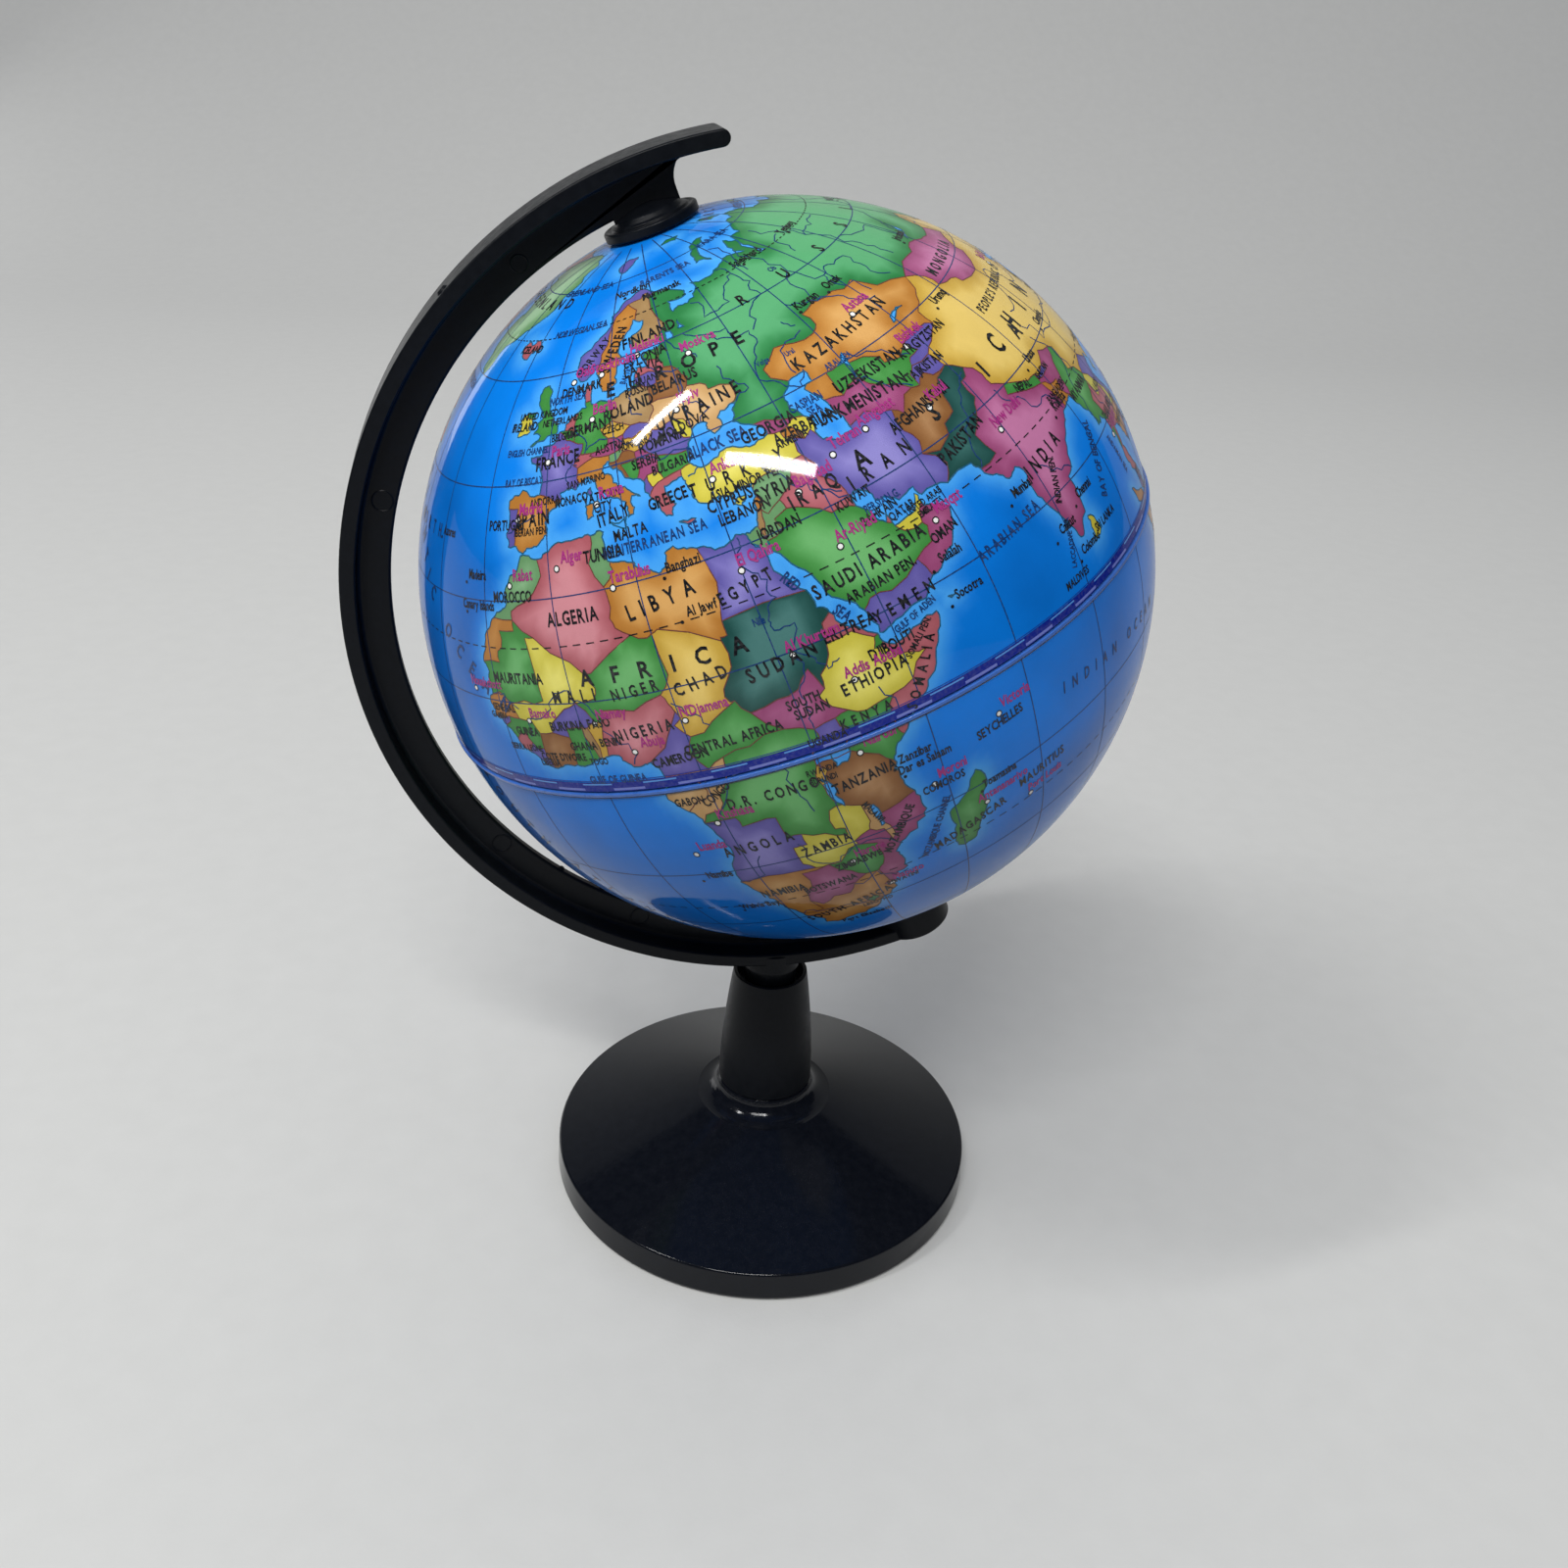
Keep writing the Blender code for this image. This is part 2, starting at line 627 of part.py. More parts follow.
BLACK_GLOSS = make_material("black_gloss_plastic", (0.006, 0.007, 0.009), 0.12)
BLACK_SATIN = make_material("black_satin_plastic", (0.008, 0.009, 0.011), 0.38)
BLUE_SHELL = make_material("printed_blue_plastic", (0.02, 0.20, 0.55), 0.10)
CLEAR_RING = make_material("pale_blue_plastic", (0.35, 0.50, 0.75), 0.25)
WHITE_BUSH = make_material("white_nylon", (0.80, 0.80, 0.78), 0.40)
GREY_FELT = make_material("charcoal_felt", (0.03, 0.03, 0.032), 0.95)
ZINC_STEEL = make_material("zinc_plated_steel", (0.60, 0.60, 0.58), 0.30, 1.0)

ARM_SWIVEL = make_axis("arm_swivel_axis", (0.0, 0.0, ARM_CENTRE_HEIGHT))
GLOBE_SPIN = make_axis("globe_spin_axis", GLOBE_CENTRE, -AXIS_TILT)

build_globe_on_stand()
bpy.context.view_layer.update()
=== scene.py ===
"""A small desktop globe on a black stand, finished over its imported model.

The ball is dressed with a printed map: land, sea, coasts, frontiers, rivers, a net of
meridians and parallels, and names. The stand and the arm are remade with finer mouldings.
Lengths are in metres; map places are longitude and latitude in degrees.
"""

import json
import math

import bpy
import numpy as np
from mathutils import Matrix
from mathutils.geometry import delaunay_2d_cdt


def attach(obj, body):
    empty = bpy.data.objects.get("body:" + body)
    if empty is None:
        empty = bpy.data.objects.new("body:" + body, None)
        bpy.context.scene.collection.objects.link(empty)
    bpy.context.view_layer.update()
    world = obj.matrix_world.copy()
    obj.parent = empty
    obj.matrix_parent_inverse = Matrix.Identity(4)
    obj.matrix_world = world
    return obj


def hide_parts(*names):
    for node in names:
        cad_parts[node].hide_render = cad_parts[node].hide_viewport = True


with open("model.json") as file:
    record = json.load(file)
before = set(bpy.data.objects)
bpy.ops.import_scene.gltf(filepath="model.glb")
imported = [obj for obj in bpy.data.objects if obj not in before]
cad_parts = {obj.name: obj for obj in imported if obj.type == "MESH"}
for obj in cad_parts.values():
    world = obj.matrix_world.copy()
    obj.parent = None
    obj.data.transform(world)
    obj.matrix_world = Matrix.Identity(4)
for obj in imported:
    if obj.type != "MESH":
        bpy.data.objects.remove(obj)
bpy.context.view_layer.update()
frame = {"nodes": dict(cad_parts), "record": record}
MM = 0.001

# The map's lines as "longitude latitude" in degrees, a comma between points and one line a
# row. A row that starts with "o" closes on itself.
COASTS = """
-5.9 35.8, -6.8 34, -8.5 33.3, -9.8 31.5, -9.6 30, -11 28.8, -13 27.8, -14.5 26.2, -16 23.8, -17 21.2
. -16.2 20.2, -16.5 18, -16.3 16, -17.4 14.7, -16.7 13.3, -16.7 12.3, -15 11, -13.8 9.8, -13.2 8.6, -12.5 7.4
. -11.4 6.8, -9 5, -7.6 4.4, -5.5 5, -3.1 5.1, -2 4.8, 0.5 5.8, 1.2 6.1, 2.7 6.3, 4.4 6.3, 5.3 5, 6 4.3
. 7.5 4.4, 8.6 4.7, 9.6 3.9, 9.8 2.3, 9.4 0.5, 8.8 -0.7, 10 -2.8, 11.8 -4.7, 12.2 -5.9, 13.3 -8.6, 13.8 -10.7
. 12.6 -13.5, 12 -15.8, 11.8 -17.5, 12.5 -18.7, 14 -21.5, 14.5 -23, 14.8 -25.5, 16.4 -28.6, 18.3 -31.8
. 18.3 -34, 20 -34.8, 22.5 -34, 25.6 -34, 27.9 -33, 30.9 -30, 32.6 -28.3, 32.9 -26, 35.5 -24, 35.4 -21.5
. 34.8 -19.8, 36.8 -18, 40.5 -15.5, 40.7 -13, 40.4 -10.5, 39.4 -8.8, 39.3 -6.5, 38.8 -6, 39.2 -4.8, 40 -3
. 41.6 -1.7, 43.5 0.6, 46 2.5, 48 4.6, 49.8 8, 51.1 10.4, 51.2 11.8, 48.5 11.3, 44.5 10.4, 43.2 11.5, 43 12.7
. 41 14.7, 39.5 15.6, 38.5 18, 37.2 19.2, 37.2 21, 35.6 23.8, 34 26.5, 32.6 29.9
. 34.3 27.8, 34.9 29.4, 35 28, 37.2 24.9, 39.1 21.5, 41 18.5, 42.7 16.3, 43.3 12.7, 45 12.9, 48.5 14
. 52.2 15.7, 55 17, 57.8 18.9, 59.8 22.4, 58.5 23.7, 56.6 24.4, 56.4 26.3, 54.5 24.3, 51.6 24.1, 51.3 26
. 50.8 25, 50.1 26.6, 48.6 28.2, 48 30, 48.9 30.3, 50.3 29.8, 51.5 27.8, 54 26.6, 56.8 27.1, 57.3 25.7
. 61.6 25.1, 66.5 25.4, 67.3 24, 69 22.3, 70.4 20.8, 72.3 21.5, 72.8 19, 73.5 16, 74.8 13, 76.3 9.8
. 77.5 8, 78.2 9, 79.9 10.3, 80.2 13.2, 80.2 15.5, 82.3 16.7, 85 19.6, 87 20.8, 88 21.7, 90.5 22, 91.8 22.3
. 92.4 20.7, 94.3 18.5, 94.4 16, 96.5 16.6, 97.6 15.6, 98.6 12.3, 98.4 8.3, 100.3 6.2, 101.3 2.9, 103.5 1.3
. 104.2 2.5, 103.4 4.5, 102.2 6.2, 100.3 8.5, 99.3 10.5, 100 13.3, 102.6 12, 103.5 10.6, 104.8 8.6
. 106.7 10.2, 109.2 11.8, 108.9 15.3, 106.5 18.2, 105.8 19.3, 107 20.9, 108.5 21.7, 110 20.4, 111 21.5
. 114.2 22.4, 117 23.4, 119.5 25.5, 121.5 28.3, 121.9 30.9, 120.8 32.8, 119.2 35, 122.5 37, 119 37.3
. 117.8 38.8, 119.3 39.4, 121.6 40.8, 121.3 39, 124.3 39.9, 125 38, 126.5 37.5, 126.3 34.6, 129.2 35.3
. 129.4 37, 127.5 39.5, 129.7 41, 130.7 42.3, 132 43.2, 135.5 44.5, 138.5 46.7, 140.4 48.5, 140.5 50.5
. 141.3 52.8, 139 54.2, 137 53.8, 135.3 54.8, 138.5 56.7, 143 59.3, 149 59.5, 155 59.3, 156.5 61.3, 160 61.8
. 163.5 62.5, 160 60.5, 157 57.8, 155.7 55, 156.7 51.1, 158.5 52.8, 160 54.5, 162 55.5, 163.3 57.8, 163.5 60
. 166 60, 170.5 60, 174 61.7, 179 62.5, 177.5 64.7, 180 65, 185 65.8, 190 66, 188 67, 180 69, 176 69.8
. 170 69, 161 69.5, 152 70.8, 140 72.3, 139.5 71.5, 130 71, 129 73, 120 73, 113.5 73.7, 113 76, 104 77.7
. 98 76, 87 75, 81 73.6, 80.5 72.5, 74.5 72.8, 73.8 66.5, 71.5 66.5, 72.5 69, 72.8 71.5, 70 73, 66.8 71
. 68.5 68.5, 64 69.3, 60.5 69.6, 54 68.3, 48 67.6, 44 68.2, 44 66.3, 40 64.7, 37 65, 35 64.3, 34.5 66.6
. 40.8 66.4, 41 67.3, 36 69.2, 31 69.7, 28 71, 24 71, 18.5 69.7, 14.5 67.8, 11 64.5, 8.5 63, 5.2 62, 5 60.5
. 5.5 59, 7.2 58, 10.5 59.3, 11.2 59, 11.9 57.7, 12.9 55.6, 14.3 55.5, 16.5 56.3, 16.7 58, 18.8 59.9, 17.2 61
. 18 62.7, 21.2 64.3, 22.2 65.8, 25.4 65, 21.5 63, 21.3 61, 22.8 59.9, 25 60.2, 28 60.5, 30.2 59.9, 28 59.5
. 24.5 59.4, 23.5 58.8, 24.4 58.3, 24.3 57.2, 23 57.4, 21.7 57.6, 21 56, 21 55.2, 19.8 54.5, 18.6 54.7
. 16 54.2, 14.2 53.9, 12.5 54.4, 10.9 54, 10 54.8, 10.5 57.7, 8.2 57, 8.2 55.5, 8.8 54, 7 53.6, 4.8 52.9
. 3.5 51.4, 1.6 50.8, 1.5 50.2, -1.5 49.7, -1.6 48.7, -4.7 48.5, -4.3 47.8, -2 47, -1.2 45.5, -1.6 43.4
. -4 43.4, -8 43.7, -9.2 43, -8.8 41, -9.4 38.8, -8.8 37, -7.3 37.1, -6.2 36.4, -5.5 36.1, -4.5 36.7
. -2.2 36.8, -0.7 37.7, 0.2 38.8, -0.3 39.6, 0.8 41, 3.2 41.9, 3.1 43.1, 4.5 43.4, 6.5 43.1, 7.5 43.8
. 8.9 44.4, 10.2 43.9, 11 42.4, 12.4 41.5, 14.2 40.8, 15.7 40, 16 38.5, 15.7 38, 17.1 39, 16.6 39.8, 17 40.5
. 18.5 40.1, 17 41, 16 41.9, 14 42.8, 12.4 44.2, 12.4 45.3, 13.7 45.7, 13.8 44.9, 15 44.6, 16 43.5, 18.5 42.4
. 19.5 41.8, 19.4 40.4, 20.7 39, 21.3 37.6, 22 36.7, 23 36.5, 23.3 37.5, 24 37.7, 23 39, 22.8 40.4, 24 40.5
. 26 40.8, 26.3 39.8, 27 38.5, 27.3 37, 29 36.4, 30.6 36.8, 32.5 36.1, 34.3 36.7, 36 36.7, 35.8 35, 35 33
. 34.4 31.5, 33 31.1, 32.3 31.2, 31 31.6, 29.5 30.9, 27 31.2, 25 31.7, 23.2 32.3, 21.7 32.9, 20.2 32.4
. 20 30.9, 19 30.3, 17.5 30.9, 15.6 31.6, 15.2 32.4, 13.2 32.9, 11.3 33.2, 10.1 34, 10.8 35, 10.6 36.4, 11 37
. 9.8 37.3, 8.6 36.9, 6.5 37, 3 36.8, 0.5 36.2, -1 35.7, -2.9 35.2, -5.3 35.9, -5.9 35.8
32.6 29.9, 32.3 31.2
o 29 41.2, 28 42, 27.7 42.7, 28.5 43.5, 28.8 44.7, 30 45.8, 31.5 46.6, 33 46.1, 32.6 45.4, 33.6 44.4, 35.4 45
. 35 46.2, 37.5 47, 39.2 47.2, 38 46.4, 37.2 44.9, 39.5 43.7, 41.5 42.4, 41.5 41.5, 38 41, 36 41.7, 34 42
. 31.3 41.2
29 41.2, 27 40.5
o 47 44.5, 49.5 46.5, 53 46.7, 53 45, 51 44.5, 52.5 42.5, 53 40.5, 53.8 39, 53.8 37, 51 36.7, 49 37.7
. 49.3 40.3, 47.6 42.8
o 58.5 45, 61 46.3, 60.5 44
o 31.8 -0.5, 33 0.3, 34.2 -0.5, 33.5 -2.3, 32 -2.5
o 29.3 -3.5, 29.7 -6.5, 31 -8.7, 30.4 -6.5, 29.6 -3.6
o 34.1 -10, 34.5 -14, 35 -13.8, 34.5 -10
o 104 51.7, 107.5 52.7, 109.6 55.6, 108.4 53
o 74 45.5, 76 46.8, 79 46.6, 75.5 46
o 31 60, 32.5 60.2, 32.3 61.2, 30.8 61.3
o 34.5 61.2, 36.2 61, 35 62.6
o -92 46.7, -88 48.6, -85 47.8, -84.7 46.6, -88 46.9
o -87.5 41.8, -86.3 43.5, -85 45.8, -87.5 45
o -82.5 43.2, -81.5 44.5, -80 44.6, -81 46, -84 46, -83.5 44.2
o -83 41.6, -79 42.8, -81.5 42.6
o -79.5 43.3, -76.4 43.7, -76.5 44.2
o -97 50.5, -98.9 53.8, -97.5 53.8, -96.5 51
o -117.5 61, -113 60.9, -109.5 62.8, -115 62.2
o -124 65, -118 66, -120 67, -125 66.3
o -5.5 50.1, -3 50.6, 1.3 51.2, 1.6 52.7, 0.3 53, -1.3 54.8, -2 56, -1.9 57.6, -3.3 58.6, -5 58.5, -5.7 57
. -5 55.7, -3 54, -4.6 53.2, -4.3 52.3, -5.2 51.8, -3 51.4
o -6.2 53.5, -6.3 52.2, -10 51.6, -9.5 53.2, -10 54.2, -8.3 55, -5.8 54.8
o -22.5 64, -18.5 63.4, -13.7 65, -16 66.4, -20 65.7, -22.3 66.4, -24.3 65.5
o 51.6 71.5, 57.5 70.6, 56 72, 60 75, 68.5 76.7, 66 77, 56 75.3, 53 73.3
o 12 78, 16 76.8, 22 78.3, 26 80, 18 80.2
o 46 80.4, 58 79.9, 64 80.8, 54 81.4
o 95 79, 104 78.2, 100 80.5, 94 81
o 137 75.8, 146 75, 150 75.3, 142 76.3
o 12.5 38, 15.5 38.2, 15.1 36.7
o 8.2 40.8, 9.7 40.9, 9.6 39.2, 8.4 39
o 8.7 42.4, 9.5 43, 9.4 41.5
o 23.6 35.5, 26.3 35.2, 24.8 34.9
o 32.4 35.1, 34.4 35.6, 33.4 34.6
o 49.2 -12, 50.4 -15.6, 49.5 -17.5, 47.8 -23, 47 -25, 45 -25.5, 43.6 -23.5, 44.4 -20, 44 -17, 46 -15.8
. 48 -13.5
o 79.9 9.6, 81.7 7.5, 81 6.2, 80 6, 79.8 8
o 53.4 12.7, 54.5 12.5, 53.8 12.3
o 95.3 5.6, 98.5 3.8, 103.5 -1, 106 -3, 105.8 -5.8, 104 -5.5, 100.5 -1, 97.5 2.5
o 105.2 -6.8, 108.5 -6.7, 112.6 -6.9, 114.5 -8.7, 110 -8, 106 -7.4
o 109 1.5, 111.5 2.7, 113.5 3.5, 116.8 7, 119 5.3, 117.8 3, 119 1, 117.3 -1, 116 -4, 114.5 -4, 111.5 -3.3
. 110 -1.3
o 119.5 -5.5, 120.4 -2.8, 121 -4.8, 122.5 -4, 121.5 -1.9, 123.3 -0.9, 121 -1, 120 0.5, 124.9 1.6, 120.8 1.3
. 119.8 0.2, 118.8 -3
o 116 -8.5, 119 -8.3, 122.8 -8.2, 119 -9
o 124 -9.2, 127 -8.4, 124.5 -10.2
o 131 -0.9, 134 -0.8, 135 -3.3, 138 -1.7, 144.5 -3.9, 147.8 -6.1, 150.8 -10.4, 147 -9.5, 144 -7.7, 142 -9.2
. 138 -8.2, 138 -5.5, 133 -4, 132 -2.8
o 148.5 -5.8, 152 -4.2, 151 -6.2
o 120.5 18.5, 122.3 18.4, 121.6 15.8, 124 12.7, 121 13.7, 120 15.5
o 122 7, 125.5 9.8, 126.5 7.2, 125.3 5.8
o 121.5 25.3, 120.8 22, 120.1 23.2
o 108.7 19.3, 110.9 20, 109.5 18.2
o 130.9 34, 133 35.5, 136 35.7, 137 37.4, 139.5 38.5, 140.2 41, 141.5 41.2, 141.9 39.5, 140.9 36, 138.5 34.7
. 135.8 33.5, 133 34.3
o 130 33.6, 131.8 33.5, 131.3 31.4, 130.2 31.3
o 132.5 33.8, 134.6 34.2, 133 32.8
o 140 41.6, 140.4 43.3, 141.7 45.4, 145.3 43.5, 143.3 42
o 142 46, 142 50, 142.5 54.3, 143.3 52, 143.5 49, 143 46.8
o 114 -22, 113.5 -26, 115.7 -32, 115.2 -34.3, 118 -35, 124 -33.3, 129 -31.6, 132 -32, 135.7 -34.9, 138 -33
. 138.2 -35.5, 140.5 -38, 143.5 -38.8, 146.4 -39.1, 150 -37.5, 151.5 -33, 153.4 -28.5, 152.8 -25, 149.5 -22
. 146.3 -19, 145.4 -15, 143.5 -14, 142.5 -10.8, 141.6 -14, 140.8 -17.5, 138 -16.5, 135.5 -15, 136.8 -12.2
. 132.6 -11.4, 130.5 -12.5, 128 -15, 125.5 -14.3, 122.3 -17.5, 121.5 -19.1, 117 -20.7
o 144.8 -40.8, 148.3 -40.9, 147.5 -43.4, 146 -43.5
o 173 -34.6, 175.5 -36.5, 178.4 -37.7, 176.8 -40, 175.2 -41.6, 173.9 -39.3, 174.8 -37.5
o 172.7 -40.6, 174.2 -41.7, 172.8 -43.8, 170.7 -45.9, 168.5 -46.6, 166.6 -45.8, 168.5 -44, 171.2 -42.5
o 164 -20.2, 167 -22.3, 165.5 -21.7
o -168 65.6, -162 66.5, -166.5 68.4, -156.7 71.3, -141 69.7, -128 70.3, -125 69.5, -115 68.5, -108 68
. -96 68.2, -94 72, -91 69.5, -86 69.8, -82 69, -81.5 67.5, -86 66.3, -87.5 64.5, -93.5 61.7, -94.7 58.8
. -92.5 57, -85 55.3, -82.3 55, -82 52.9, -79.5 51.4, -79 54.5, -76.7 57, -78.5 59, -77.5 62.4, -73 62.2
. -69.5 61, -69.5 58.9, -65 60.3, -62 57.8, -60 55, -56 52.5, -60 50.2, -66.5 50.2, -71 46.9, -65 49.2
. -64.5 47.8, -65 46, -61.5 45.7, -66 43.6, -65 45.3, -67 44.9, -70.5 43.4, -70 41.7, -74 40.6, -75.5 38
. -76 36.9, -75.6 35.3, -77.9 33.9, -81 31.8, -80.1 26.5, -80.6 25.2, -82 26.8, -82.8 28.5, -84 30.1
. -86.5 30.4, -89.5 30.2, -89.3 29.2, -91.5 29.5, -94.5 29.4, -97.3 27.5, -97.5 24, -97.7 21.8, -96 19.1
. -94.5 18.2, -91.8 18.5, -90.4 20.8, -87 21.5, -87.6 19.5, -88.3 17.5, -88.7 15.8, -84.5 15.9, -83.2 15
. -83.6 11, -82 9, -79.7 9.5, -77.3 8.5, -75.5 10.6, -74 11.3, -71.8 12.4, -71.5 11, -70 11.5, -68 10.5
. -64.5 10.2, -62 10.7, -60.8 8.5, -57 6, -54 5.9, -51.5 4.3, -50 1, -48.4 -0.7, -44.5 -2.5, -40 -2.9
. -37 -4.8, -35.2 -5.5, -34.8 -8, -37 -11, -39 -13.5, -39.2 -17.8, -41 -21.5, -42 -23, -44.7 -23.3
. -48.2 -25.5, -48.7 -28.3, -50.5 -30.5, -53.3 -33.7, -55 -34.9, -58 -34, -56.8 -36.4, -57.7 -38.2, -62 -39
. -62.2 -40.7, -65 -41, -63.8 -42.5, -65.3 -44.7, -67.5 -46, -65.8 -47.5, -69 -50.5, -68.4 -52.3, -70.8 -53
. -74 -51.5, -75.5 -48, -74 -44, -73.5 -41.7, -73.5 -37.2, -71.5 -33, -71.5 -30, -70.4 -25, -70.2 -19
. -71.5 -17.5, -76 -14, -79 -8.5, -81.2 -6, -80 -3, -80.9 -2.2, -80 0.8, -77.5 2.6, -77.3 4, -77.7 7.2
. -79.5 9, -80.5 7.5, -83 8.3, -84.7 9.7, -85.7 10.5, -87.5 12.8, -91.5 14, -94.5 16.2, -99.5 16.7
. -104 18.9, -105.5 20.5, -105.5 22.5, -109.3 25.7, -112.5 29.5, -114.7 31.7, -114.5 30, -111 26, -109.5 23.2
. -112.2 26, -115 28.5, -117 32.5, -120.6 34.6, -122.5 37.5, -124.3 40.3, -124 46, -124.7 48.3, -122.5 48.8
. -127.5 51, -130.5 54.5, -134 58, -139.5 59.7, -145 60.4, -151 59.5, -152 61, -154 58.5, -158 56.5
. -164 54.8, -160 56, -158 58.5, -162 58.8, -162 60, -166 61.7, -161 64, -165 64.5
o -68.5 -52.6, -68 -53.7, -65.3 -54.7, -69 -55.3, -74 -53.2
o -61 -51.5, -58 -51.6, -60.5 -52.2
o -73 78.2, -62 81.8, -32 83.5, -18 81, -20 76, -22 72.5, -25 70.5, -32 68, -40 65, -43 60, -48 61, -52 64.5
. -54 67, -51 70, -56 73.5, -62 76, -69 76
o -61.5 66.5, -66 63, -72 64.5, -78 65, -73.5 67.5, -80 70, -89 71, -85 73.5, -77 72.8, -68 70
o -62 82.4, -78 76.2, -90 76.5, -92 81
o -105 69.3, -116 69.2, -118 71.5, -112 73, -105 72.5
o -123 71.3, -125 73.7, -117 74
o -80 74.6, -92 75, -88 76
o -96 75, -108 75, -115 76.3, -98 76.5
o -96 72, -102 72.8, -97 73.9
o -80.5 63.5, -85.5 64.5, -83 66
o -123.4 48.4, -125.5 48.9, -128 50.6, -125.3 50.2
o -61.8 49.1, -64.3 49.9, -62 49.5
o -59.3 47.8, -55.5 51.4, -52.8 47.5, -56 47
o -84.8 22, -80 23.1, -74.3 20.2, -77.5 19.9
o -74.3 18.5, -73 19.9, -68.4 18.7, -71 18
o -78.3 18.4, -76.3 18, -77.5 17.9
o -67.2 18.4, -65.7 18.3, -66.9 18
o -155.9 20.2, -154.9 19.5, -155.8 19
o 0 -70, 20 -70, 40 -69, 55 -66, 70 -68.5, 78 -69, 90 -66.5, 110 -66, 130 -66, 145 -67, 160 -70, 170 -72
. 165 -78, 180 -78.5, 200 -78, 210 -77, 230 -74, 250 -74.5, 260 -73, 280 -73, 292 -70, 295 -66, 303 -63.3
. 300 -66, 298 -70, 299 -74, 285 -77, 300 -79, 320 -78, 330 -76, 342 -73, 352 -71
"""
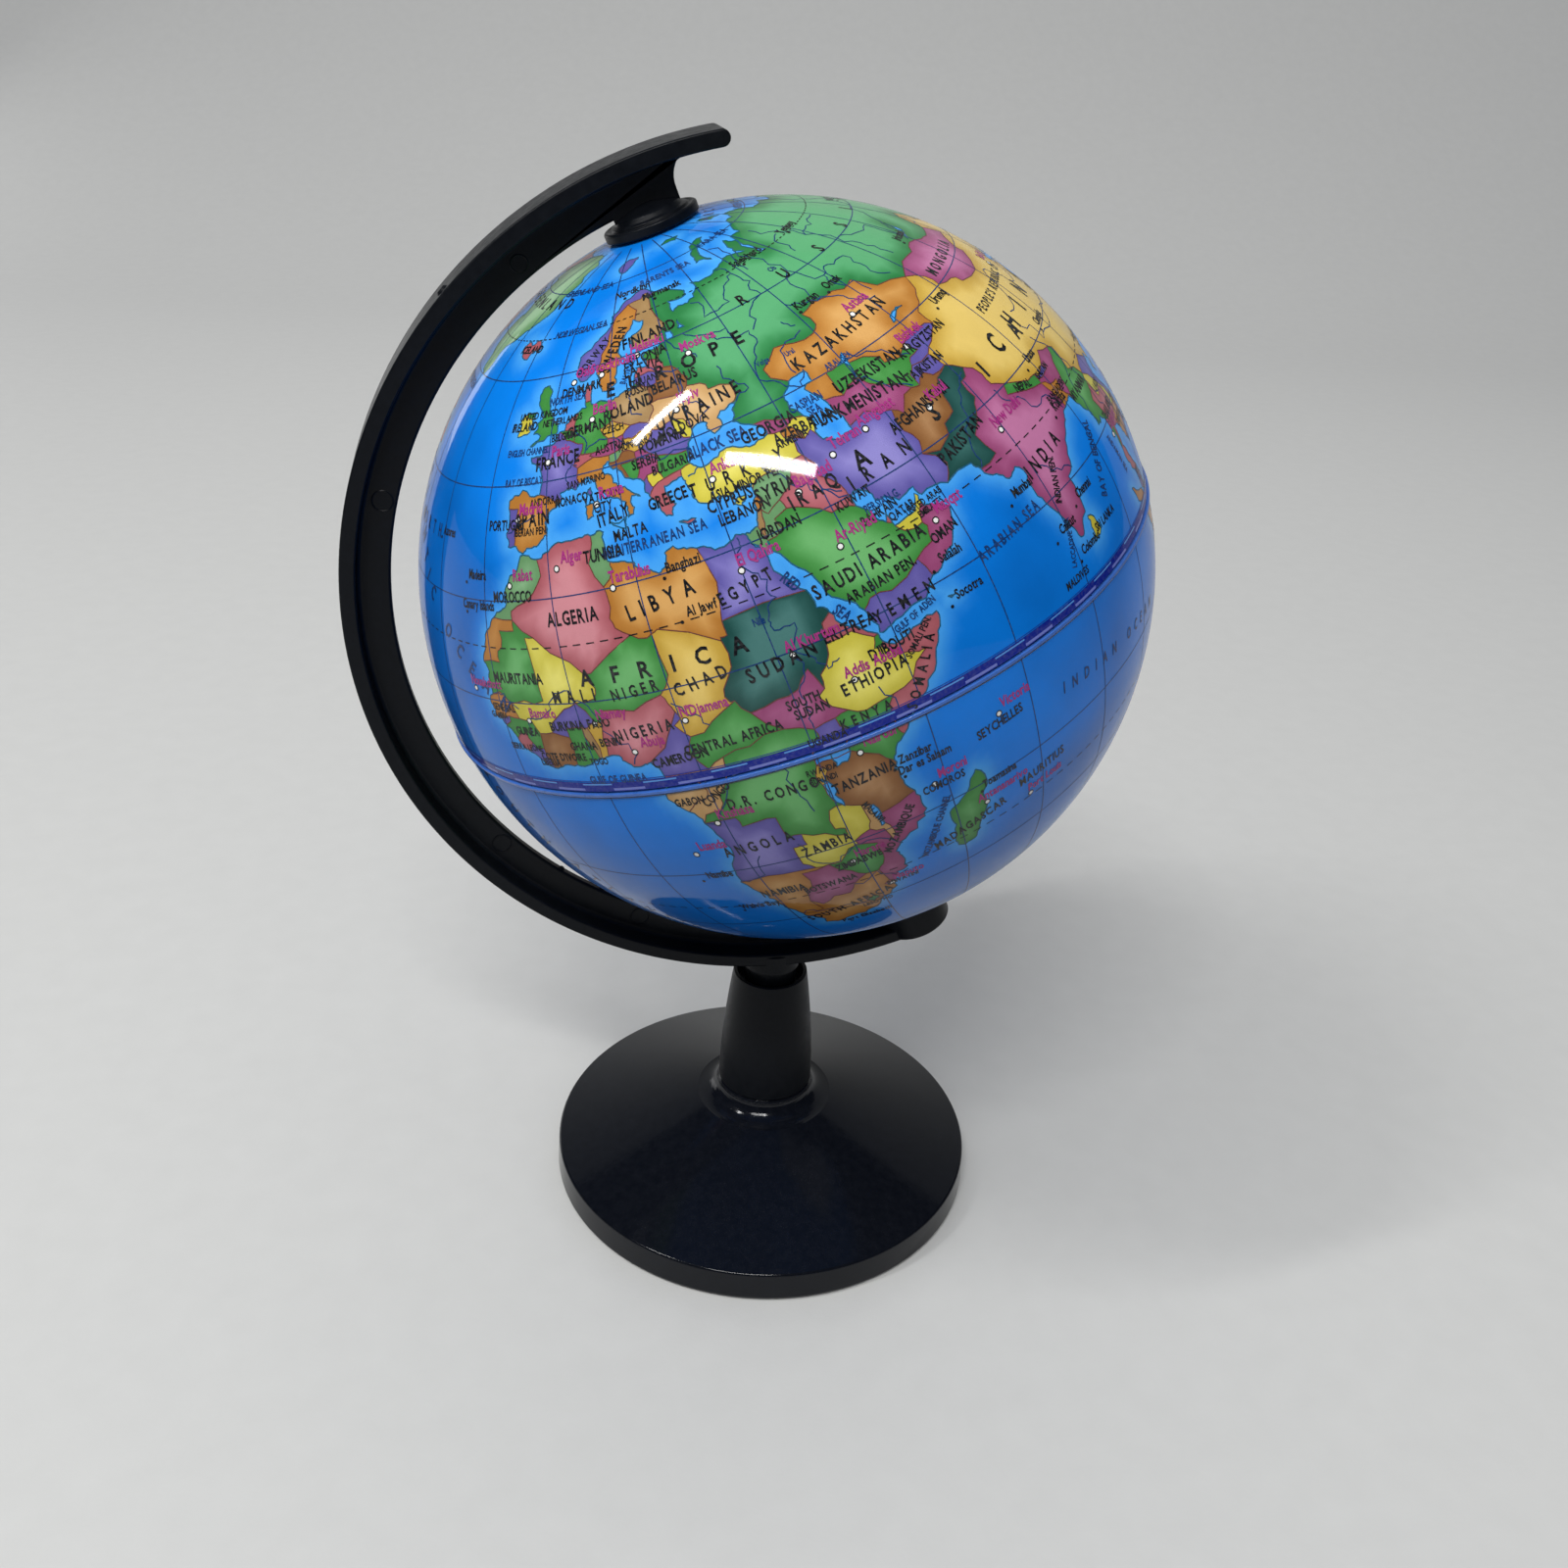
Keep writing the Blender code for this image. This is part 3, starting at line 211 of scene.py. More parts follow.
BORDERS = """
-2.2 35.1, -1.7 33, -3.5 31, -5.5 29.8, -8.7 28.7, -8.7 27.5
-13 27.7, -8.7 27.5
-8.7 27.5, -8.7 26, -12 26, -12 23.5, -13 23, -13 21.3, -17 21.3
-8.7 27.4, -4.8 25, -6.5 25, -5.5 15.5, -9.3 15.5, -12.2 14.8, -14.5 16.6, -16.5 16
-4.8 25, 1.2 21.1, 3.2 19, 4.2 19.2, 11.9 23.5
11.9 23.5, 9.9 24.8, 9.4 26.2, 9.8 29, 9.5 30.3, 7.6 33.5, 8.3 35, 8.6 36.9
9.5 30.3, 11.5 32.2, 11.5 33.1
11.9 23.5, 14.2 22.6, 15 23, 16 23.4, 24 19.5, 24 20, 25 20, 25 22, 25 31.6
25 22, 36.9 22
24 19.5, 24 15.7, 22 13, 22.2 11, 22.8 11
15 23, 15.5 17, 13.5 14.4, 14.1 13, 14.6 11.5, 13.3 9.5, 11.5 6.6, 8.6 4.8
13.5 14.4, 9 12.8, 4 13.5, 3.6 11.7, 2.8 9, 2.7 6.4
3.2 19, 4.2 17, 3.5 15.4, 0.2 15, -2 14.2, -5 12, -5.5 10.4
0.2 15, 2.4 11.9, 3.6 11.7
2.4 11.9, 0.9 11, 0 11.1, -2.8 11, -2.7 9.6, -5.5 10.4, -8 10.2, -8.3 7.6, -8.3 6.5, -7.5 4.4
0.9 11, 1.4 9.3, 1.6 6.2
0 11.1, 0.5 8.5, 1.2 6.1
-2.7 9.6, -2.7 7.5, -3.1 5.1
-8.3 7.6, -9.4 7.4, -10.3 8.5, -11.4 6.9
-10.3 8.5, -11 10, -12.5 9.9, -13.2 9
-8 10.2, -9 12.2, -11.4 12.4, -13.7 12.6, -13.7 11.7, -15 10.9
-11.4 12.4, -12.2 14.8
-13.7 12.6, -16.7 12.3
14.1 13, 15.1 10.5, 13.9 9.6, 15.5 7.5, 14.5 5, 16.2 2.2
9.8 2.3, 11.3 2.3, 13.2 2.2, 16.2 2.2, 18.6 3.5, 22.5 4.1, 27.4 5.1
13.2 2.2, 14.4 0, 14.4 -2, 12.5 -2.4, 11.1 -3.9
9.8 1, 11.3 1, 11.3 2.3
18.6 3.5, 17.8 0, 16 -2, 15.3 -4.3, 13 -4.6, 12.3 -5.9
15.5 7.5, 19 9, 22.8 11, 24.2 8.7, 27.4 5.1, 31 3.7
24.2 8.7, 28 9.4, 31 9.8, 33 12, 34.1 8.6, 33 7.8, 35.9 4.6
34.1 8.6, 34.3 10.6, 36.2 12.8, 36.5 14.3, 37 17, 38.6 18
36.5 14.3, 40 14.5, 42.4 12.5, 41.8 11, 42.9 10.9, 44 9, 47 8, 48 8, 45 5, 42 4.2
42.4 12.5, 43.1 12.6
42.9 10.9, 43.3 11.4
42 4.2, 41 3, 41 -0.8, 41.6 -1.7
35.9 4.6, 38 3.6, 42 4.2
35.9 4.6, 34 4.2, 31 3.7, 31.3 2.2, 29.7 0.5, 29.6 -1.4
34 4.2, 35 1.9, 34 0
33.9 -1, 30.5 -1.1, 29.6 -1.4, 29 -2.7, 29.4 -4.5, 30.4 -4.2, 30.8 -2.4, 30.5 -1.1
33.9 -1, 37.6 -3, 39.2 -4.7
29.4 -4.5, 29.5 -6, 30.7 -8.3, 33 -9.4, 34 -9.6
34.9 -11.6, 38 -11.3, 40.4 -10.5
33 -9.4, 33.3 -12.5, 32.8 -13.8, 34.6 -14.6, 35.2 -17, 35.8 -15.5, 34.9 -13.5, 34.9 -11.6
32.8 -13.8, 30.2 -14.9, 30.4 -15.8, 28.9 -15.9, 27 -18, 25.2 -17.8, 23.4 -17.7, 18.5 -17.4
. 14 -17.4, 11.8 -17.3
30.7 -8.3, 28.8 -8.6, 28.5 -11.8, 29.8 -12.2, 29.8 -13.4, 27 -12, 24 -11, 24 -13, 22 -13, 22 -16.3, 23.4 -17.7
12.3 -5.9, 16.7 -5.9, 17 -7.5, 19.5 -7.2, 21.8 -7.3, 22 -11, 24 -11
25.2 -17.8, 21 -18.2, 21 -22, 20 -22, 20 -28.4, 16.4 -28.6
20 -24.8, 20.7 -26.9, 23 -25.4, 25.6 -25.7, 27 -23.7, 29.4 -22.2, 31.3 -22.4, 32 -25.8, 32.9 -26.8
25.2 -17.8, 27.7 -20.5, 29.4 -22.2
30.4 -15.8, 32.9 -16.7, 33 -19, 32.4 -21.3, 31.3 -22.4
32 -25.8, 31 -26.5, 31.8 -27.3, 32.1 -26.8
o 27.1 -29.6, 28.6 -28.6, 29.4 -29.5, 28.1 -30.6
-8.8 41.9, -6.7 41.9, -6.9 40, -7.3 38.5, -7.4 37.2
-1.8 43.4, 0.7 42.8, 3.2 42.4
2.5 51.1, 4.2 50, 6.1 49.5, 8.2 49, 7.6 47.6, 6.1 46.3, 7 45.9, 6.8 44.5, 7.5 43.8
3.4 51.4, 5.8 51.2, 6.1 50.7, 6.1 49.5
6.1 50.7, 6 51.8, 7.1 53.3
8.6 54.9, 10 54.8
14.3 53.9, 14.7 52, 15 51, 12.2 50.3, 13.8 48.8, 13 47.6, 10.2 47.4, 7.6 47.6
15 51, 16.8 50.3, 18.8 49.6, 22.5 49.1
13.8 48.8, 17 48.7, 18.8 49.6
17 48.7, 17.1 48, 16.2 46.9, 13.7 46.5, 10.4 46.8, 7 45.9
9.6 47.5, 9.6 47.1, 10.4 46.8
13.7 46.5, 13.7 45.7
13.6 45.5, 15.3 45.5, 16.5 46.5, 16.2 46.9
16.5 46.5, 18.8 45.9, 20.3 46.1, 22.9 48, 22.1 48.4, 20.5 48.4, 18.8 47.8, 17.1 48
22.9 48, 24.8 47.8, 26.7 48.3, 28.2 45.5, 29.7 45.2
26.7 48.3, 29.1 47.9, 30 46.5
22.1 48.4, 22.5 49.1, 24 50.6, 23.6 51.6, 23.9 53.9, 22.8 54.4, 19.8 54.4
23.6 51.6, 27 51.6, 30.6 51.3, 31.8 52.1, 34.4 51.7, 35.5 50.4, 40.1 49.6, 39.7 47.9, 38.2 47.1
31.8 52.1, 32.5 53.3, 31 55, 28.2 56.1, 26.6 55.7, 25.7 54.2, 23.9 53.9
26.6 55.7, 24.5 56.3, 21.1 56.1
28.2 56.1, 27.4 57.5, 28 59.4
27.4 57.5, 24.4 57.9
22.8 54.4, 21.3 55.2
27.8 60.5, 31.5 62.9, 29.6 64.9, 28.7 68.2, 28.9 69.1, 30.8 69.8
28.9 69.1, 27.9 70.1, 25.8 69.3, 20.6 69.1, 23.7 67.4, 24.1 65.8
20.6 69.1, 16 67.4, 14.1 64.4, 12.1 61.5, 11.8 59.8, 11.2 59
17.6 42.9, 15.8 44.8, 18.9 45, 18.8 45.9
18.9 45, 19.2 43.6, 18.5 42.6
20.3 46.1, 22.7 44.5, 22.4 42.3, 20.3 42.4, 19.4 41.9
22.7 44.5, 26 43.8, 28.5 43.7
20.3 42.4, 20.6 41.1, 21 40.7, 20.1 39.5
21 40.7, 23 41.3, 22.4 42.3
23 41.3, 26.3 41.7, 26 40.8
26.3 41.7, 28 42
-8.2 55, -8 54.2, -6.2 54
41.5 41.5, 43.5 41.1, 43.7 40.1, 44.8 39.7, 44.5 37.8, 44.8 37.2, 42.4 37.1, 40 36.8, 36.7 36.8, 35.9 36
39.9 43.4, 44 42.6, 46.5 41.9, 48.6 41.8
43.5 41.1, 45 41.3, 46.5 41.9
45 41.3, 46.5 39.5, 46.5 38.9, 44.8 39.7
46.5 38.9, 48 39.6, 48.9 38.4
42.4 37.1, 41 34.4, 38.8 33.4, 36.5 32.4, 35.8 33.3, 36.6 34.2, 36 34.7
35.8 33.3, 35.1 33.1
35.8 33.3, 35.5 31.5, 35 29.5, 34.3 31.3
35 29.4, 37.5 30, 37 31.5, 39.2 32.1, 42 31.1, 44.7 29.2, 46.5 29.1, 47.7 30.1
38.8 33.4, 39.2 32.1
46.5 29.1, 48.4 28.5
44.8 37.2, 46 35.5, 45.5 34, 47.7 31.7, 48 30
42.8 16.4, 44 17.4, 47 17, 52 19, 53.1 16.7
52 19, 55 20, 55.6 22, 55.2 22.7, 52.5 22.9, 51.6 24.1
55.2 22.7, 55.8 24.2, 56.3 24.9
50.8 24.7, 51.3 24.5
53.9 37.3, 57.2 38.2, 61.1 36.5, 60.6 33.5, 61.7 31.4, 60.9 29.8, 63.3 27.2, 61.7 25.2
60.9 29.8, 66.3 29.9, 66.9 31.3, 69.5 31.9, 70 34, 71.5 36.4, 74.5 37.1
61.1 36.5, 62.5 35.3, 64.6 37.2, 66.5 37.4, 68 37, 70.2 38, 71.4 37, 74.5 37.1, 73.8 39.5
66.5 37.4, 62.5 39.8, 60 42.3, 56 41.3, 52.5 41.8
56 41.3, 56 45, 58.5 45.2
61 44.5, 66.1 43, 66 42, 69 41.4, 71 42.2, 73.5 43, 77 42.9, 80.2 42.1, 76.5 40.5, 73.8 39.5, 69.5 39.6
. 70.5 40.6, 73 40.8, 71 42.2
69.5 39.6, 68 38.8, 68 37
49 46.4, 47 48, 46.7 49.5, 51 51.6, 55 50.8, 59.5 50.6, 61.5 51.5, 61 53.8, 65 54.5, 71 54.3, 73.5 53.5
. 77 54, 80 50.9, 87.3 49.1, 85.5 47, 82.5 45.3, 80.2 44.5, 80.2 42.1
87.3 49.1, 92 50.8, 98 50.5, 102 51.4, 107 50, 111 49.3, 116.7 49.8, 119.7 46.7, 112 45, 111.9 43.7
. 105 41.6, 97 42.7, 95.5 44.2, 91 45, 91 47, 87.8 49.1
116.7 49.8, 120 53, 123.5 53.5, 127.5 49.8, 130.8 48, 135 48.4, 133 45, 131 43, 130.6 42.4, 128 42
. 126 41.2, 124.3 39.9
126.6 37.8, 128.4 38.6
68.2 23.8, 71 24.4, 70 27.8, 73 30, 74.6 31.5, 74.5 34, 77 35.3, 79 33, 79 31.3, 81 30.2
74.5 37.1, 77 35.3
81 30.2, 86 28, 88.1 27.9, 88.1 26.4, 84 27.4, 80.1 28.8, 81 30.2
88.1 27.9, 89 27.2, 91.7 27.8, 92 26.9, 89.8 26.7, 89 27.2
91.7 27.8, 94 29.2, 97.3 28.2, 95.2 26.5, 93.3 24, 92.6 22, 92.3 20.7
89 22, 88.8 24.5, 88.1 26.4, 89.8 25.3, 92.3 25, 91.2 23.7, 92.6 22
97.3 28.2, 98.7 27.5, 97.6 24, 101.1 21.5, 100.1 20.3, 97.8 18.5, 98.8 16, 99.2 13, 99 10.8, 98.5 10
100.1 20.3, 101.2 17.6, 104 18.3, 105.5 15.5, 105.4 14.3, 102.5 14, 102.9 11.7
105.4 14.3, 107.5 14.4, 107 12, 104.5 10.4
107.5 14.4, 106.5 16.6, 104 19, 102.2 22.4
101.1 21.5, 102.2 22.4, 105 23.2, 108 21.5
100.1 6.4, 102.1 6.2
109.6 2, 112 1.4, 115 2.5, 117.6 4.1
141 -2.6, 141 -9.1
-122.8 49, -95.2 49, -89.5 48, -88 48
-84.5 46.5, -83.6 46
-82.5 43, -82.5 42
-79.2 42.9, -79.2 43.3
-76.4 44, -71.5 45, -69.2 47.4, -67 45
-141 69.7, -141 60.2
-137 59.3, -130.5 55.5, -130.4 54.4
-117.1 32.5, -111 31.3, -106.5 31.8, -103 29, -99.5 27.5, -97.2 26
-92.2 14.3, -91.5 16, -91 17.8, -89 17.9, -88.3 18.4
-90 13.8, -89.3 14.4, -88.3 15.7
-89.2 17.9, -89 15.9
-87.5 13, -85 14.6, -83.2 15
-89.3 14.4, -87.7 13.2
-85.7 11.1, -83.7 10.9
-82.9 8.2, -82.6 9.5
-77.9 7.3, -77.4 8.6
-71.3 11.8, -73 9.2, -72 7.2, -67.5 6.2, -67 1.2, -63.5 2.2, -64.5 4, -60.7 5.1, -60 8.2
-60.7 5.1, -59.8 2, -57 2, -54.5 2.3, -51.7 4.2
-57.1 5.9, -57 2
-54 5.8, -54.5 2.3
-67 1.2, -69.5 0.6, -70 -4.2, -74 -7.5, -70.6 -11, -69 -11, -69.2 -16, -69.5 -17.5, -70.4 -18.3
-70 -4.2, -75 -0.2, -78.8 1.4
-75 -0.2, -78.5 -4.5, -80.3 -3.4
-69 -11, -65.4 -10, -60 -13.5, -60 -16.2, -57.7 -18, -58 -20.2, -62 -20.5, -62.6 -22.2, -67.2 -22.8
-58 -20.2, -55.5 -22.3, -54.6 -25.6, -58.5 -27.3, -57.8 -25.3, -62.6 -22.2
-69.5 -17.5, -68 -20, -67.2 -22.8, -68.5 -25, -70 -30, -70 -34, -71.5 -39, -71.7 -45, -73 -49
. -72 -52, -68.4 -52.3
-54.6 -25.6, -53.8 -27.2, -57.6 -30.2, -53.4 -33.7
-57.6 -30.2, -58.4 -34
"""
# Where each tint is poured on to the land, as "longitude latitude".
LANDS = {
    "rose": "3 27, 43 32.5, 42.5 0.6, 41.8 -0.9, 8 9.3, -18.5 65, 46 6, 46 10, -65 -38, "
            "9.3 56, 5.5 52.3, 8 46.8, 26 57, 22 39.5, 24.8 35.2, 47.9 29.4, 51.2 25.2, "
            "-11.8 8.5, 10.6 1.6, 38 16, 31.5 -26.5, 101 15.5, 175.5 -39, 171 -43.5, -71 19, "
            "-81 8.6, -88.8 17, 165.3 -21.4, -100 57, -73 68.5, -80 79.5, -112 71, -121 72.5, "
            "-86 75.2, -105 76, -98 72.8, -83 64.8, -126.5 49.8, -56 48.7",
    "orange": "17 26.5, 68 48, 17 -21, 23 -30, 99.6 1.8, 106.6 -6.9, 112.5 -7.2, 124.6 -9.5, "
              "122.9 1.1, 115 1.8, 112 -1.8, -14.5 14.6, -13 25, -4 40, 15.5 62, 13 42.5, 9 40, "
              "135 -25, 146.5 -42, 102 -1, 113 0, 121 -2, 137 -4.2, 119 -8.6, 105 12.7, 90 24, "
              "44.7 40.3, 35.9 33.9, -75 -9, -56 -33, -59 4.5, -79 22, -84 10",
    "purple": "29.5 27, 31.5 0.4, -1.5 12.6, 12.5 5, 32.5 2, 17 -12, 47.5 15.5, 54.5 33.5, "
              "2.5 47, 9 42.2, -8 39.5, 9 61, 25 45.8, 75 41.3, 71 38.6, 137 36, 131 32.7, "
              "143 43, 23.7 55.3, 19.5 48.8, 20 41, 17 78.5, -9.3 6.3, -15 12.1, 90.5 27.3, "
              "108 13, 102.3 4, 114 3.2, -70.8 -33, -53 4, 53.9 12.5",
    "teal": "29 16, 67.5 28",
    "magenta": "30.5 7.5, 79 21, 93 26, 37.5 -15, 33.5 -23, 35 -18.5, -71 -1.2, 23.5 -21.5, "
               "95 47, 56.5 20.5, -64 -17, -73 4, 59 39.5, 14.5 47.6, 21 44, 43 42, 121 17, "
               "125 8, -69 -54",
    "amber": "18.5 16, 95 35, 15 49.8, 19 47, 2.3 9.5, 29.9 -2.9, -102 24, -58.5 -23.3, "
             "121 23.7",
    "yellow": "-2 20, 40 8, 26 -14.5, 47.5 40.5, 34 39, 27.3 41.2, -8 53, 28.5 47, 33.4 35.1, "
              "21.7 41.5, 54 23.6, 80.8 7.8, 109.8 19.2, 103 19.5, -86.5 14.8, -66 7",
    "green": "9 18, -78.2 0.4, 24 3.6, 24 1.5, 38 -1.8, 39 -2.8, 36.5 -0.5, -60 -1, -61 2, "
             "-52 1.8, -55 0.5, -9.5 19.5, -1.3 8, 38 1.5, 21 6.7, 23 -2, 29.5 -19, 46.5 -19.5, "
             "44 25, 64 41.5, 10 51, 84 28.2, 25 42.8, -1.5 52.5, -6.8 54.6, 17.8 44.2, "
             "4.8 50.6, 26 58.9, 42.5 11.7, 28.2 -29.5, 96 21, 127.8 36.7, 144 -6, 150.5 -5.7, "
             "-52 -10, -78.5 -1.5, -55.8 4, -90.5 15.2, -85 12.8, -77.3 18.2, -11 11.3",
    "pine": "100 62, 30 67, 50 57, 21.5 54.7, 57 74, 54 71.8, 55 80.5, 98 79.5, 143 75.4, "
            "142.7 50, -178 67",
    "mint": "-6.5 32.5, 38.5 35, 9.5 33.9, 36.8 30.8, 14.5 46, -40 72",
    "brown": "65.5 33, -5.5 7.5, 35 -6, 28 53.5, 16.3 45.4",
    "tan": "19 52, 26.5 63.5, 35 31, 0.8 8",
    "peach": "31 49, 14.5 -2.5, 12 1.2, 15.5 1.5, 11.5 -0.8, 33.8 -12, -100 40, -152 65, "
             "-155.5 19.5",
    "ice": "60 -85",
}
SEAS = ("-30 40, -30 0, -20 -40, 70 -10, 90 -50, 150 20, -150 30, -120 -30, 20 35, 34 43.3, 51 38.5, 51 45"
        ", 38 20, 0 75, 100 85, -150 80, 58 15, 88 12, 19 57, 3 56, 52 27, -90 25, -70 15, 115 12, -84 58"
        ", 130 30, 150 55, -60 72, -60 58, 59.8 45, 170 -10, 33 -1, -20 20, 10 0, 40 75, 160 75")
RIVERS = """
31 31.2, 31.2 30, 30.8 27, 32.8 25, 33 22.5, 30.8 20, 31 18.5, 33.8 18.5, 32.6 15.6, 32.5 12, 31 9.5, 31.5 6
. 31 3, 32.5 1
32.6 15.6, 34.5 13, 35.5 11, 37.3 11.8
-10 9.5, -8 12.5, -4.5 14.2, -3 16.7, -0.5 17, 1.5 15, 3.5 12, 6.5 8, 6.2 4.7
12.4 -6, 15.5 -4.2, 17.5 -1, 20 1.9, 23.5 1.9, 25.3 0, 26 -4, 27 -8
36.2 -18.6, 33.5 -16, 30 -15.6, 27 -17.8, 23 -15.5, 22.8 -12.5
16.5 -28.6, 20 -29, 24.5 -29.2, 27 -30
48 30.2, 46 31.5, 43.5 33.8, 41 35.5, 38.5 37.5
47.5 31, 45 33, 43.5 35.5, 42 37.5
48.5 46, 45 48.5, 46 51, 49 53.5, 49 55.7, 44 56.3, 40 57.5
29.5 45.2, 28 44, 24 43.8, 20 45, 19 47.5, 16 48.2, 12 49, 9 48
32 46.6, 34.5 48, 32.5 49.5, 30.5 50.5, 31 53.5
39.3 47.2, 42.5 48.2, 40 50.5, 39 53
51.5 47, 51.7 50, 55 51.5, 58 52
66.5 70, 67 66.5, 69 61, 74 57, 73.5 55, 78 51
69 61, 66 58, 69 54, 72 52, 77 50
82 71.5, 86 68, 88 64, 91 60, 92.5 56, 94 52.5
126 72.5, 124 68, 129 63, 121 60, 110 56, 107 54
67.5 24, 68.5 27.5, 71 30, 73 33.5, 76 35
88.5 22, 87 25, 82.5 25.5, 79 28.5, 78.5 30.5
60.5 44, 59.5 42, 63.5 39, 67 37.5
61.2 46, 65 44.6, 69 42, 71 41
-50 0.3, -55 -2, -60 -3, -65 -3, -70 -4, -73.5 -4.5
-89.3 29.3, -91 32, -89.5 37, -91 41, -94 46
121.5 31.5, 116 30, 111 30.5, 105 28.5, 99 29, 96 33
118.5 37.7, 113 35, 110 38, 107 40.5, 103 36.5, 98 35
54 68, 57 66, 52 64.5, 50 61.5, 42 61, 40.6 64.4
69 54, 64 55, 60 56.5
74 57, 78 58, 84 57.5, 84 54, 86 51
91 60, 97 58.5, 104 58, 104.5 53
88 64, 96 64.5, 104 65.5
84 67.6, 79 66, 78 63
57 66, 59 63, 58 60, 52.5 58.5, 50 55.5
35 60, 38.5 58.6, 42 58, 46 56.2
56 54.5, 58 53
129 63, 134 61, 140 58.5
141 53, 137 50, 131 48, 127.5 50, 122 53, 117 50
148 71.5, 146 68, 149 64
61 73, 63 68.5, 62 65
30.5 59.9, 34 57, 36 55.5
24.2 57, 28 55.4, 31.5 55
8.6 47.6, 8 50, 6 51.9
20 54.4, 19 52.5, 21.5 50.5
-9 38.8, -6 39.8, -2.5 40.8
4.8 43.4, 4.8 46, 6.8 46.3
48.5 46, 51 45, 53 47
100.5 13.6, 100 17, 99.5 19.5
105.5 10, 105 14, 103 18, 100.5 20.2, 98 26, 95.5 31
95.4 16, 95 20, 96.5 24, 98 28
82 16, 79 17.5, 76 19.6
40 -0.5, 39 1.2
42.8 0, 42 3.6, 40.5 6
14.5 12.9, 16.5 10.5, 18.5 8.6
-16.4 16, -13.5 16.4, -11 14
12 -17.2, 16 -16.8, 17 -13
35.4 -24.8, 31 -22.4, 27 -23.8
-110 31.8, -113 36.5, -110 39, -108 43
-124 46.2, -119 46, -118 50
-135 69, -130 65, -121 62, -117 59, -120 56
-58.4 -34, -58 -30, -55 -27, -50 -20
-61 8.6, -66 7.8, -67 4
138.9 -35.5, 141 -34, 145 -36, 147 -36.2
"""
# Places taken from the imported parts
GLOBE = next(joint for joint in frame["record"]["behaviour"]["joints"] if joint["name"] == "globe_spin")
CENTRE = np.array(GLOBE["pos_m"])
NORTH = np.array(GLOBE["axis"]) / np.linalg.norm(GLOBE["axis"])
BALL_MM = 53.0
BALL = BALL_MM * MM
DEGREE_MM = math.radians(1.0) * BALL_MM
ARM_CENTRE = np.array([0.0, 0.0, 107.3 * MM])
AXIS_TILT = math.radians(22.5)
VIEW_HEADING = math.radians(12.06)

rng = np.random.default_rng(12)


class Value:
    """A socket of a material's tree; arithmetic on it adds Math nodes."""

    def __init__(self, paint, socket):
        self.paint = paint
        self.socket = socket

    def maths(self, operation, *others):
        return self.paint.add("ShaderNodeMath", {"operation": operation}, self, *others)

    def __add__(self, other):
        return self.maths("ADD", other)

    def __mul__(self, other):
        return self.maths("MULTIPLY", other)

    __radd__ = __add__
    __rmul__ = __mul__


def socket_name(key):
    """The shader's name for a keyword."""
    return {"ior": "IOR", "coat_ior": "Coat IOR"}.get(key, key.replace("_", " ").title())


class Paint:
    """A material: constants go straight on its shader, varying values are added as nodes."""

    def __init__(self, name, **constants):
        self.material = bpy.data.materials.new(name)
        self.material.use_nodes = True
        self.nodes = self.material.node_tree.nodes
        self.links = self.material.node_tree.links
        self.shader = self.nodes["Principled BSDF"]
        for key, value in constants.items():
            self.shader.inputs[socket_name(key)].default_value = value
        self.where = self.add("ShaderNodeTexCoord", out="Object")

    def join(self, socket, value):
        """Feeds an input from another node, or with a constant."""
        if isinstance(value, Value):
            self.links.new(value.socket, socket)
        else:
            socket.default_value = value

    def add(self, kind, settings=None, *values, out=0, **sockets):
        """Any node: its settings, its inputs in order or by name, and the output wanted."""
        node = self.nodes.new(kind)
        for key, value in (settings or {}).items():
            setattr(node, key, value)
        for index, value in enumerate(values):
            self.join(node.inputs[index], value)
        for key, value in sockets.items():
            self.join(node.inputs[key.replace("_", " ")], value)
        return Value(self, node.outputs[out])

    def noise(self, scale, detail=2.0, roughness=0.5, where=None):
        """Soft noise from 0 to 1, with scale in lumps a metre."""
        return self.add("ShaderNodeTexNoise", None, Vector=where or self.where, Scale=scale,
                        Detail=detail, Roughness=roughness)

    def between(self, value, low, high, first=0.0, last=1.0):
        """The value's stretch from low to high, carried to first and last and held there."""
        return self.add("ShaderNodeMapRange", {"clamp": True}, value, low, high, first, last)

    def mix(self, factor, first, second):
        """A colour between two."""
        node = self.nodes.new("ShaderNodeMix")
        node.data_type = "RGBA"
        for index, value in ((0, factor), (6, first), (7, second)):
            if index and not isinstance(value, Value):
                value = (*value, 1.0)
            self.join(node.inputs[index], value)
        return Value(self, node.outputs[2])

    def tone(self, colour, factor):
        """A colour made lighter or darker by a number."""
        return self.add("ShaderNodeVectorMath", {"operation": "SCALE"}, colour, Scale=factor)

    def bump(self, height, depth):
        """Relief with its depth in metres."""
        lifted = self.add("ShaderNodeBump", None, Height=height, Distance=depth, Strength=1.0)
        self.join(self.shader.inputs["Normal"], lifted)

    def set(self, **sockets):
        """Feeds the shader's inputs with values that vary."""
        for key, value in sockets.items():
            self.join(self.shader.inputs[socket_name(key)], value)


def srgb(code):
    """A six-figure screen colour as linear light."""
    parts = np.array([int(code[index:index + 2], 16) for index in (0, 2, 4)]) / 255.0
    light = np.where(parts <= 0.04045, parts / 12.92, ((parts + 0.055) / 1.055) ** 2.4)
    return tuple(light.tolist())


